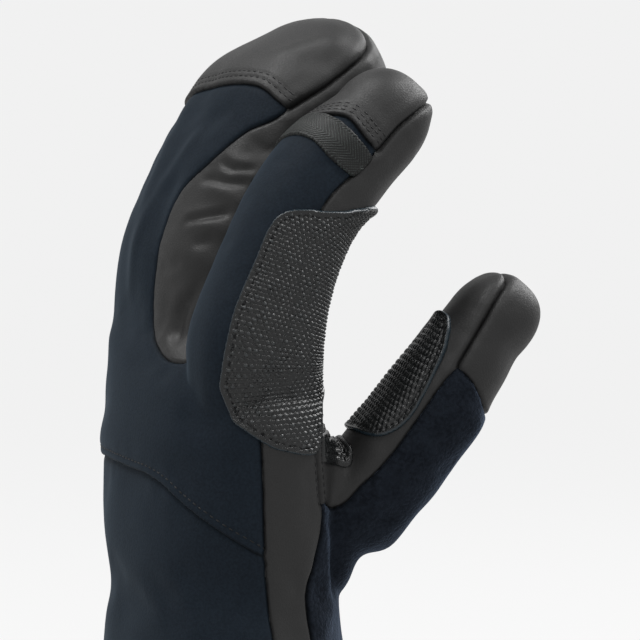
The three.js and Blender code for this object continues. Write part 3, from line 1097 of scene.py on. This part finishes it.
# %% Raise the knit
THICK = 0.95  # mm from the underside of a patch to the foot of its knit
LIFT = 0.1  # mm between a patch and the skin under it
sheet_tops = {}


def knit(along, around, row, stitch, tall):
    """The height of rice-shaped stitches in staggered rows, and each stitch's shade: its own random
    tone, lighter towards its crest as a painted highlight.
    """
    line = np.floor(along / row)
    place = around / stitch + 0.5 * (line % 2)
    column = np.floor(place)
    shade = np.sin(line * 127.1 + column * 311.7) * 43758.5453
    shade -= np.floor(shade)
    across = place - column - 0.5
    down = along / row - line - 0.5
    slant = across + 0.45 * down
    turned = down - 0.3 * across
    grain = np.sqrt(np.clip(1 - (slant / 0.47) ** 2 - (turned / 0.47) ** 2, 0, 1))
    # Scaled by the stitch's rise, the tone becomes a painted highlight on its crest and painted shade
    # at its foot.
    return grain * tall * (0.7 + 0.5 * shade), grain * shade


def rounded_edge(edge, radius):
    return np.sqrt(np.clip(1 - (1 - np.minimum(edge / radius, 1)) ** 2, 0, 1))


def lifted_corner(points, place, reach):
    return bump(np.linalg.norm(points - place, axis=1) / MM, 0, reach)


def finish_sheet(piece, height, thickness, shade):
    """Raises a sheet off its ground, closes it underneath and keeps its shade: the webbing's weave, or
    the knit's random tones with a painted highlight on each stitch's crest.
    """
    mesh = piece.data
    ground, out = read(mesh, "ground"), unit(read(mesh, "out"))
    keep(mesh, "thickness", thickness)
    keep(mesh, "shade", shade)
    write_points(mesh, ground + out * height[:, None] * MM)
    sheet_tops[piece.name.removesuffix("_sheet")] = shell_of(piece)
    extrude_back(piece)
    thin_back(piece, SHEET_BACK)
    shade_smooth(piece)


def round_out(mesh, edge, times):
    """Turns the sharp valley under a sheet into a round saddle, except along its edge."""
    ground = read(mesh, "ground")
    evened = spread_vectors(ground, edge_pairs(mesh), times)
    inside = np.clip((edge - 0.4) / 2, 0, 1)[:, None]
    keep(mesh, "ground", ground + (evened - ground) * inside)


def raise_knit(node, tube, radius, facing, row, stitch, tall, corner,
               rounding=0, painted_light_share=1.0, rim=0.45):
    """Gives a patch its knit. A rim wider than 1 mm is soft and has no colour of its own."""
    piece = sheets[node]
    mesh = piece.data
    edge = read(mesh, "edge_distance")
    round_out(mesh, edge, rounding)
    ground = read(mesh, "ground")
    along, around = along_and_round(tube, ground, radius, facing)
    grain, shade = knit(along, around, row, stitch, tall)
    body = np.clip((edge - 0.9) / 0.5, 0, 1)
    border = 0.2 * bump(edge, 0.6, 0.35) - 0.25 * bump(edge, 2.1, 0.3)
    lift = 0.9 * lifted_corner(ground, corner, 3.5)
    height = lift + LIFT + THICK * rounded_edge(edge, rim) + (grain - 0.25) * body + border
    if rim > 1:
        keep(mesh, "edge_distance", edge + rim)
    # The kept shade carries each stitch's painted crest highlight; a share under 1 paints the patch
    # darker, as if it lay in shade.
    finish_sheet(piece, height, lift * 0.9 - 0.3, shade * body * painted_light_share)
    print(node, "rises to", height.max().round(2), "mm")


raise_knit("index_grip_patch", INDEX, 16.5, (0.5, -1, 0), 1.22, 1.6, 0.5,
           skin(INDEX, [4.8], [158])[0])
# The thumb and crotch patches take a smaller share of the painted highlight, which paints shade on
# them.
raise_knit("thumb_grip_patch", THUMB, 16, (-0.7, -0.3, 0.6), 1.8, 1.6, 0.32,
           skin(THUMB, [4.64], [-4])[0], painted_light_share=0.3)
raise_knit("crotch_grip_patch", THUMB, 16, (-0.7, -0.3, 0.6), 1.5, 1.6, 0.45,
           skin(HAND, [5.05], [200])[0], rounding=600, painted_light_share=0.5, rim=2.2)

# %% [markdown]
# ## Webbing loop
#
# The loop on the index finger is a flat herringbone tape. Its ribs slant one way and then
# the other in bands along the tape, and its two long edges are woven hard.

# %% Weave the finger loop
BAND = 4.1  # mm from one turn of the herringbone to the next
RIB = 1.05
CROSS_RIB = 0.6
loop = sheets["webbing_loop"]
loop_ground = read(loop.data, "ground")
loop_edge = read(loop.data, "edge_distance")
loop_along, loop_around = along_and_round(INDEX, loop_ground, 15.5, (-0.5, -1, 0))
zigzag = np.abs((loop_along / BAND) % 2 - 1) * BAND
ribs = 0.5 + 0.5 * np.cos(2 * math.pi * (loop_around + zigzag * 1.1) / RIB)
cross_ribs = 0.5 + 0.5 * np.cos(2 * math.pi * (loop_around * 0.9 - zigzag) / CROSS_RIB)
weave = ribs * (0.65 + 0.35 * cross_ribs)
loop_height = LIFT + 0.7 * rounded_edge(loop_edge, 0.35) + 0.2 * weave - 0.1 * bump(loop_edge, 1, 0.25)
finish_sheet(loop, loop_height, np.full(len(loop_height), -0.2), weave)
print("loop's tape rises to", loop_height.max().round(2), "mm")
bpy.data.objects.remove(patch_ground)

# %% [markdown]
# ## Stitching
#
# Thread shows as short dashes beside the lapped seams and along the edges of the patches.
# One dash is modelled as a stretched little sphere. Copies of it are laid along lines at a
# fixed distance from each seam, sunk to half their thickness.

# %% Model one stitch
STITCH = 1.6
THREAD = 0.5
bpy.ops.object.select_all(action="DESELECT")
bpy.ops.mesh.primitive_uv_sphere_add(segments=6, ring_count=5, radius=0.5 * MM)
one_stitch = bpy.context.object
one_stitch.name = "one_stitch"
stitch_points = read_points(one_stitch.data) * (THREAD, THREAD, STITCH)
stitch_faces = [tuple(face.vertices) for face in one_stitch.data.polygons]
bpy.data.objects.remove(one_stitch)
print("a stitch has", len(stitch_faces), "faces")

# %% [markdown]
# ## Rows of stitches
#
# A row keeps its distance from a seam, so each place on the seam's line is moved aside, to
# the side where the stitched cloth lies, and dropped onto the cloth. The hem and the edges of
# the patches have rows of their own. All the stitches become one mesh.

# %% Lay the stitches along their lines
SUNK = 0.02  # mm that a stitch's middle lies under the cloth's surface
MISSED = 0.0012  # a stitch is left out where the cloth is farther away than this
EVEN_ROUNDS = 6
BESIDE = 0.0008


def even_places(line, pitch):
    """Evenly spaced places along a line, smoothed, with the line's direction at each."""
    for _ in range(EVEN_ROUNDS):
        line[1:-1] = (line[:-2] + 2 * line[1:-1] + line[2:]) / 4
    lengths = np.concatenate(([0], np.cumsum(np.linalg.norm(np.diff(line, axis=0), axis=1))))
    count = int(lengths[-1] / (pitch * MM))
    at = (np.arange(count) + 0.5) * pitch * MM
    place, after, before = [
        np.stack([np.interp(at + step, lengths, column) for column in line.T], 1)
        for step in (0, BESIDE, -BESIDE)]
    return place, unit(after - before)


def lay_stitches(line, cloth, distance, pitch=2.3):
    """Stitches on a cloth at a distance in mm from a line beside it."""
    laid = []
    for place, direction in zip(*even_places(line.copy(), pitch)):
        normal = smooth_skin.find_nearest(Vector(place))[1]
        aside = Vector(direction).cross(normal).normalized() * distance * MM
        found = [cloth.find_nearest(Vector(place) + step) for step in (aside, -aside)]
        spot, up, _, miss = min(found, key=lambda hit: hit[3])
        if miss < MISSED:
            along = (Vector(direction) - up * up.dot(Vector(direction))).normalized()
            turn = np.array((along.cross(up), up, along))
            laid.append(stitch_points @ turn + np.array(spot - up * SUNK * MM))
    return laid


STITCHED_SEAMS = [
    ("fingertip_cap", "back_panel", (2.4, 4.4)),
    ("index_cap", "back_panel", (1.9, 3.4, 4.9)),
    ("back_panel", "cuff_panel", (2.4,)),
    ("palm_panel", "thumb_front", (1.8,)),
    ("thumb_front", "palm_panel", (1.8,)),
]
HEM_ROW = HEM_LINE / 40  # the hand's table has its sections at heights of 0 and 40 mm
dashes = []
for cloth, other, distances in STITCHED_SEAMS:
    for line in seam_lines.get(frozenset((cloth, other)), []):
        for distance in distances:
            dashes += lay_stitches(line, sewn_skins[cloth], distance)
hem_line = skin(HAND, np.full(361, HEM_ROW), np.arange(361))
for cloth in ("cuff_panel", "palm_panel", "thumb_suede"):
    dashes += lay_stitches(hem_line, sewn_skins[cloth], 0, 3)
for node, line in rim_lines:
    dashes += lay_stitches(line, sheet_tops[node], 2.1, 2.1)
count = len(stitch_points)
thread_faces = [[i + count * number for i in face]
                for number in range(len(dashes)) for face in stitch_faces]
thread_mesh = bpy.data.meshes.new("stitching")
thread_mesh.from_pydata(np.concatenate(dashes).tolist(), [], thread_faces)
stitching = bpy.data.objects.new("stitching", thread_mesh)
bpy.context.scene.collection.objects.link(stitching)
shade_smooth(stitching)
print(len(dashes), "stitches")

# %% [markdown]
# ## Tools for the finishes
#
# A finish is a small network of nodes. Effects that several finishes share are node groups:
# a grain of two sizes, slow blotches of colour, and the painted light of the seams, which
# reads the distance that was kept on the panels: painted shade in each groove and a painted
# highlight on the puffed band beside it. Each finish places them with its own values.

# %% Helpers and shared node groups
def add(tree, kind, inputs=None, **settings):
    """Adds a shader node, and links or sets its inputs."""
    node = tree.nodes.new("ShaderNode" + kind)
    for key, value in settings.items():
        setattr(node, key, value)
    for socket, source in (inputs or {}).items():
        if isinstance(source, bpy.types.NodeSocket):
            tree.links.new(source, node.inputs[socket])
        else:
            node.inputs[socket].default_value = source
    return node


def new_group(name, inputs, outputs):
    tree = bpy.data.node_groups.new(name, "ShaderNodeTree")
    for label, value in inputs.items():
        socket = tree.interface.new_socket(label, in_out="INPUT", socket_type="NodeSocketFloat")
        socket.default_value = value
    for label in outputs:
        tree.interface.new_socket(label, in_out="OUTPUT", socket_type="NodeSocketFloat")
    return tree, tree.nodes.new("NodeGroupInput").outputs, tree.nodes.new("NodeGroupOutput").inputs


def stretch(tree, value, low, high, to_low=0.0, to_high=1.0):
    """Maps the range from low to high smoothly onto another one."""
    ranges = {"From Min": low, "From Max": high, "To Min": to_low, "To Max": to_high}
    node = add(tree, "MapRange", {"Value": value, **ranges}, interpolation_type="SMOOTHSTEP")
    return node.outputs["Result"]


def multiply(tree, a, b):
    return add(tree, "Math", {0: a, 1: b}, operation="MULTIPLY").outputs[0]


grain, given, result = new_group("grain", {"Fine Scale": 1500, "Cell Scale": 900}, ["Fine", "Cells"])
place = add(grain, "TexCoord").outputs["Object"]
fine = add(grain, "TexNoise",
           {"Vector": place, "Scale": given["Fine Scale"], "Detail": 3, "Roughness": 0.6})
cells = add(grain, "TexVoronoi", {"Vector": place, "Scale": given["Cell Scale"]},
            feature="DISTANCE_TO_EDGE")
grain.links.new(stretch(grain, fine.outputs["Fac"], 0.3, 0.7), result["Fine"])
grain.links.new(stretch(grain, cells.outputs["Distance"], 0.02, 0.3), result["Cells"])

blotches, given, result = new_group("blotches", {"Scale": 30}, ["Mask"])
place = add(blotches, "TexCoord").outputs["Object"]
cloud = add(blotches, "TexNoise",
            {"Vector": place, "Scale": given["Scale"], "Detail": 2, "Roughness": 0.5})
blotches.links.new(stretch(blotches, cloud.outputs["Fac"], 0.35, 0.65), result["Mask"])

seam_shade, given, result = new_group("seam_shade", {"Groove Width": 0.9}, ["Groove", "Rubbed"])
distance = add(seam_shade, "Attribute", attribute_name="seam_distance").outputs["Fac"]
# Painted shade: 1 in a seam's groove, where the finishes darken the colour to nearly black.
groove = stretch(seam_shade, distance, 0.15, given["Groove Width"], 1.0, 0.0)
seam_shade.links.new(groove, result["Groove"])
# Painted highlight: a band from 0.9 to 6 mm beside a seam, over its puffed edge, where the colour is
# made lighter.
rise = stretch(seam_shade, distance, 0.9, 2.4)
fall = stretch(seam_shade, distance, 6, 3)
seam_shade.links.new(multiply(seam_shade, rise, fall), result["Rubbed"])
print("node groups:", [group.name for group in bpy.data.node_groups])


def group(tree, shared, **values):
    node = tree.nodes.new("ShaderNodeGroup")
    node.node_tree = shared
    for label, value in values.items():
        node.inputs[label.replace("_", " ")].default_value = value
    return node.outputs


def mix(tree, mask, a, b):
    """Mixes two colours, which may be sockets or plain values."""
    node = add(tree, "Mix", data_type="RGBA")
    for socket, source in ((node.inputs[0], mask), (node.inputs[6], a), (node.inputs[7], b)):
        if isinstance(source, bpy.types.NodeSocket):
            tree.links.new(source, socket)
        else:
            socket.default_value = (*source, 1) if isinstance(source, tuple) else source
    return node.outputs[2]


def new_finish(name, roughness, specular, sheen=0.0, sheen_tint=(1, 1, 1)):
    material = bpy.data.materials.new("mitten_" + name)
    material.use_nodes = True
    tree = material.node_tree
    shader = tree.nodes["Principled BSDF"]
    shader.inputs["Roughness"].default_value = roughness
    shader.inputs["Specular IOR Level"].default_value = specular
    shader.inputs["Sheen Weight"].default_value = sheen
    shader.inputs["Sheen Roughness"].default_value = 0.4
    shader.inputs["Sheen Tint"].default_value = (*sheen_tint, 1)
    finishes[name] = material
    return tree, shader


def colour_it(tree, shader, colour):
    tree.links.new(colour, shader.inputs["Base Color"])


def relief(tree, shader, height, depth, strength):
    """Feeds a height into a bump whose full depth is given in millimetres."""
    node = add(tree, "Bump", {"Height": height, "Distance": depth * MM, "Strength": strength})
    tree.links.new(node.outputs["Normal"], shader.inputs["Normal"])


finishes = {}

# %% [markdown]
# ## Softshell
#
# Softshell is a dense matt cloth with a faint bluish sheen and a very fine speckle. It has two
# tones of navy in slow blotches, and painted shade makes the grooves of its seams nearly black.

# %% Softshell
tree, shader = new_finish("softshell", 0.7, 0.12, 0.06, (0.45, 0.72, 1))
weave = group(tree, grain, Fine_Scale=1300, Cell_Scale=2200)
clouds = group(tree, blotches, Scale=28)
seam = group(tree, seam_shade, Groove_Width=0.75)
colour = mix(tree, clouds["Mask"], (0.005, 0.0086, 0.0138), (0.0064, 0.0108, 0.017))
colour = mix(tree, multiply(tree, weave["Fine"], 0.5), colour, (0.0125, 0.0205, 0.0305))
# Painted shade, nearly black, in the grooves of the seams.
colour_it(tree, shader, mix(tree, multiply(tree, seam["Groove"], 0.8), colour, (0.002, 0.003, 0.004)))
relief(tree, shader, weave["Fine"], 0.06, 0.35)

# %% [markdown]
# ## Leather
#
# The leather is a smooth satin hide with small pores. Painted shade darkens the grooves of
# its seams, a painted highlight lightens the puffed band beside them, and its roughness varies
# with the grain.

# %% Leather
tree, shader = new_finish("leather", 0.5, 0.4)
skin_grain = group(tree, grain, Fine_Scale=2400, Cell_Scale=1150)
clouds = group(tree, blotches, Scale=45)
seam = group(tree, seam_shade, Groove_Width=1)
colour = mix(tree, clouds["Mask"], (0.011, 0.0116, 0.0122), (0.0155, 0.0162, 0.0168))
# Painted highlight on the puffed band beside each seam.
colour = mix(tree, multiply(tree, seam["Rubbed"], 0.35), colour, (0.036, 0.036, 0.036))
colour = mix(tree, multiply(tree, skin_grain["Cells"], 0.25), (0.012, 0.012, 0.012), colour)
# Painted shade, nearly black, in the grooves of the seams.
colour_it(tree, shader, mix(tree, multiply(tree, seam["Groove"], 0.85), colour, (0.002, 0.002, 0.002)))
tree.links.new(stretch(tree, skin_grain["Fine"], 0, 1, 0.46, 0.6), shader.inputs["Roughness"])
relief(tree, shader, skin_grain["Cells"], 0.05, 0.45)

# %% [markdown]
# ## Suede
#
# Suede is fuzzy and swallows light. Its nap has been brushed in different directions, which
# shows as small blotches, and it has a faint blue sheen at a grazing angle.

# %% Suede
tree, shader = new_finish("suede", 0.95, 0.1, 0.22, (0.5, 0.68, 1))
nap = group(tree, grain, Fine_Scale=900, Cell_Scale=3000)
brushed = group(tree, blotches, Scale=210)
clouds = group(tree, blotches, Scale=60)
seam = group(tree, seam_shade, Groove_Width=1)
colour = mix(tree, brushed["Mask"], (0.003, 0.004, 0.0062), (0.0075, 0.0098, 0.0142))
colour = mix(tree, multiply(tree, clouds["Mask"], 0.4), colour, (0.0055, 0.0075, 0.0115))
colour = mix(tree, multiply(tree, nap["Fine"], 0.45), colour, (0.016, 0.021, 0.03))
# Painted shade, nearly black, in the grooves of the seams.
colour_it(tree, shader, mix(tree, multiply(tree, seam["Groove"], 0.8), colour, (0.001, 0.0015, 0.002)))
relief(tree, shader, nap["Fine"], 0.25, 0.6)

# %% [markdown]
# ## Grip knit
#
# The yarn is coated and glossy. Each stitch has the shade that the mesh keeps for it: a random
# tone of its own, lighter towards its crest as a painted highlight. The thin bound edge is
# bluish, found by the distance from the rim.

# %% Grip knit
tree, shader = new_finish("grip_knit", 0.27, 0.5)
shade = add(tree, "Attribute", attribute_name="shade").outputs["Fac"]
edge = add(tree, "Attribute", attribute_name="edge_distance").outputs["Fac"]
yarn = group(tree, grain, Fine_Scale=2600, Cell_Scale=1200)
# Stitch tones with a painted highlight on each crest, by the kept shade.
colour = mix(tree, stretch(tree, shade, 0.35, 0.95), (0.005, 0.0058, 0.0062), (0.024, 0.028, 0.03))
colour = mix(tree, stretch(tree, edge, 0.65, 0.35), colour, (0.011, 0.02, 0.027))
colour_it(tree, shader, colour)
tree.links.new(stretch(tree, yarn["Fine"], 0, 1, 0.2, 0.42), shader.inputs["Roughness"])
relief(tree, shader, yarn["Fine"], 0.05, 0.4)

# %% [markdown]
# ## Webbing, thread and lining
#
# The tape's ribs are greenish grey on black. The thread is black. The lining, which shows
# only in the open cuff, is a dark fleece.

# %% Webbing, thread and lining
tree, shader = new_finish("webbing", 0.5, 0.35)
shade = add(tree, "Attribute", attribute_name="shade").outputs["Fac"]
yarn = group(tree, grain, Fine_Scale=2600, Cell_Scale=1500)
colour = mix(tree, stretch(tree, shade, 0.45, 0.9), (0.002, 0.0025, 0.0025), (0.033, 0.042, 0.038))
colour_it(tree, shader, mix(tree, multiply(tree, yarn["Fine"], 0.3), colour, (0.006, 0.007, 0.007)))
relief(tree, shader, yarn["Fine"], 0.05, 0.4)

tree, shader = new_finish("thread", 0.5, 0.35)
yarn = group(tree, grain, Fine_Scale=4000, Cell_Scale=2500)
colour_it(tree, shader, mix(tree, yarn["Fine"], (0.0015, 0.0015, 0.002), (0.006, 0.006, 0.007)))
relief(tree, shader, yarn["Fine"], 0.04, 0.5)

tree, shader = new_finish("lining", 0.95, 0.1, 0.3)
nap = group(tree, grain, Fine_Scale=500, Cell_Scale=420)
colour_it(tree, shader, mix(tree, nap["Cells"], (0.006, 0.006, 0.007), (0.02, 0.021, 0.023)))
relief(tree, shader, nap["Cells"], 0.4, 0.7)
print("finishes:", list(finishes))

# %% [markdown]
# ## Dressing the frame
#
# Every finished piece gets its own name and its finish and is hung under the root, while the
# frame's solid that it stands for is hidden. The names are those of the parts of a real mitten.

# %% Give every piece its finish and its place
DRESSED = {
    "back_panel": ("back_of_the_hand", "softshell"),
    "cuff_panel": ("cuff", "softshell"),
    "fingertip_cap": ("fingertip_leather", "leather"),
    "finger_gusset": ("gathered_gusset", "leather"),
    "index_cap": ("index_tip_leather", "leather"),
    "palm_panel": ("palm_leather", "leather"),
    "thumb_front": ("thumb_front_leather", "leather"),
    "thumb_cap": ("thumb_tip_leather", "leather"),
    "thumb_suede": ("thumb_suede_side", "suede"),
    "index_grip_patch": ("index_knit_patch", "grip_knit"),
    "thumb_grip_patch": ("thumb_knit_patch", "grip_knit"),
    "crotch_grip_patch": ("crotch_knit_patch", "grip_knit"),
    "webbing_loop": ("finger_loop_tape", "webbing"),
}


def dress(piece, name, front, back):
    piece.name = name
    piece.data.name = name
    piece.data.materials.clear()
    piece.data.materials.append(finishes[front])
    if back:
        piece.data.materials.append(finishes[back])
    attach(piece, "root")


for node, (name, finish) in DRESSED.items():
    if node in panels:
        dress(panels[node], name, finish, "lining")
        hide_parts(node)
    else:
        dress(sheets[node], name, finish, finish)
        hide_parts(node)
dress(stitching, "stitching", "thread", None)
dressed = [*panels.values(), *sheets.values(), stitching]
for piece in dressed:
    print(piece.name, triangles(piece), "triangles")
print("in all", sum(triangles(piece) for piece in dressed))

# %% [markdown]
# ## Studio
#
# A pale floor rises into a round backdrop, which gives the plain light background from every
# side. It glows, and a little more where the camera sees it, so that the background stays as
# even as in the photograph. One large light stands high on the camera's left and another high
# on its right. A small one near the camera lifts the shadows, and two from farther behind
# draw the bright edges along the fingers.

# %% Floor, backdrop and lights
FLOOR_RADIUS = 4.2
BEND_STEPS = 8
WALL_HEIGHT = 5
PAPER_GLOW = 0.62
SEEN_GLOW = 0.23
# azimuth and elevation in degrees, distance and width in metres, power in watts
LIGHTS = {
    "key_light": (-100, 70, 1.5, 0.8, 14),
    "front_light": (-20, 42, 1.8, 0.3, 4),
    "left_edge_light": (-150, 55, 1.7, 0.7, 3),
    "right_light": (74, 52, 1.5, 0.7, 17),
    "right_edge_light": (112, 28, 1.6, 0.7, 9),
}
bpy.ops.object.select_all(action="DESELECT")
bpy.ops.mesh.primitive_circle_add(vertices=128, radius=FLOOR_RADIUS, fill_type="NGON",
                                  location=(0, 0, -MM))
backdrop = bpy.context.object
backdrop.name = "backdrop"
edit_all()
bpy.ops.mesh.select_mode(type="EDGE")
bpy.ops.mesh.region_to_loop()
for step in range(BEND_STEPS):
    angle = math.radians(90 * (step + 0.5) / BEND_STEPS)
    grow = 1 + 0.2 * math.cos(angle) * 0.9 / (1 + 0.15 * step)
    bpy.ops.mesh.extrude_region_move(TRANSFORM_OT_translate={"value": (0, 0, 0.2 * math.sin(angle))})
    bpy.ops.transform.resize(value=(grow, grow, 1))
bpy.ops.mesh.extrude_region_move(TRANSFORM_OT_translate={"value": (0, 0, WALL_HEIGHT)})
bpy.ops.object.mode_set(mode="OBJECT")
bpy.ops.object.shade_smooth_by_angle(angle=math.radians(60))
bpy.ops.object.transform_apply(location=True, rotation=True, scale=True)

paper = bpy.data.materials.new("pale_paper")
paper.use_nodes = True
paper_shader = paper.node_tree.nodes["Principled BSDF"]
paper_shader.inputs["Base Color"].default_value = (0.06, 0.06, 0.06, 1)
paper_shader.inputs["Roughness"].default_value = 1
paper_shader.inputs["Specular IOR Level"].default_value = 0
paper_shader.inputs["Emission Color"].default_value = (1, 1, 1, 1)
seen = add(paper.node_tree, "LightPath").outputs["Is Camera Ray"]
glow = add(paper.node_tree, "Math", {0: seen, 1: SEEN_GLOW, 2: PAPER_GLOW}, operation="MULTIPLY_ADD")
paper.node_tree.links.new(glow.outputs[0], paper_shader.inputs["Emission Strength"])
backdrop.data.materials.append(paper)
backdrop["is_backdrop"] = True

world = bpy.data.worlds.new("studio")
bpy.context.scene.world = world
world.use_nodes = True
world.node_tree.nodes["Background"].inputs["Color"].default_value = (1, 1, 1, 1)
world.node_tree.nodes["Background"].inputs["Strength"].default_value = 0.3
bpy.context.scene.view_settings.view_transform = "Standard"


def add_softbox(name, azimuth, elevation, distance, size, power):
    """A square area light that looks at the mitten's middle and isn't seen itself."""
    middle = Vector((0.02, 0, 0.17))
    a, e = math.radians(azimuth), math.radians(elevation)
    away = Vector((math.sin(a) * math.cos(e), -math.cos(a) * math.cos(e), math.sin(e)))
    bpy.ops.object.light_add(type="AREA", location=middle + away * distance)
    light = bpy.context.object
    light.name = name
    light.rotation_euler = (-away).to_track_quat("-Z", "Y").to_euler()
    light.data.size = size
    light.data.energy = power
    light.visible_camera = False


for name, settings in LIGHTS.items():
    add_softbox(name, *settings)

# %% [markdown]
# ## Last look
#
# The sizes of the frame's box and of the dressed model are printed side by side. The
# visual model may stand only a little proud of the frame's box.

# %% Write the sizes and finish
VISUAL_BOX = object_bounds()
for cad, visual in zip(CAD_BOX, VISUAL_BOX):
    print("frame", [round(v / MM, 1) for v in cad], "dressed", [round(v / MM, 1) for v in visual])
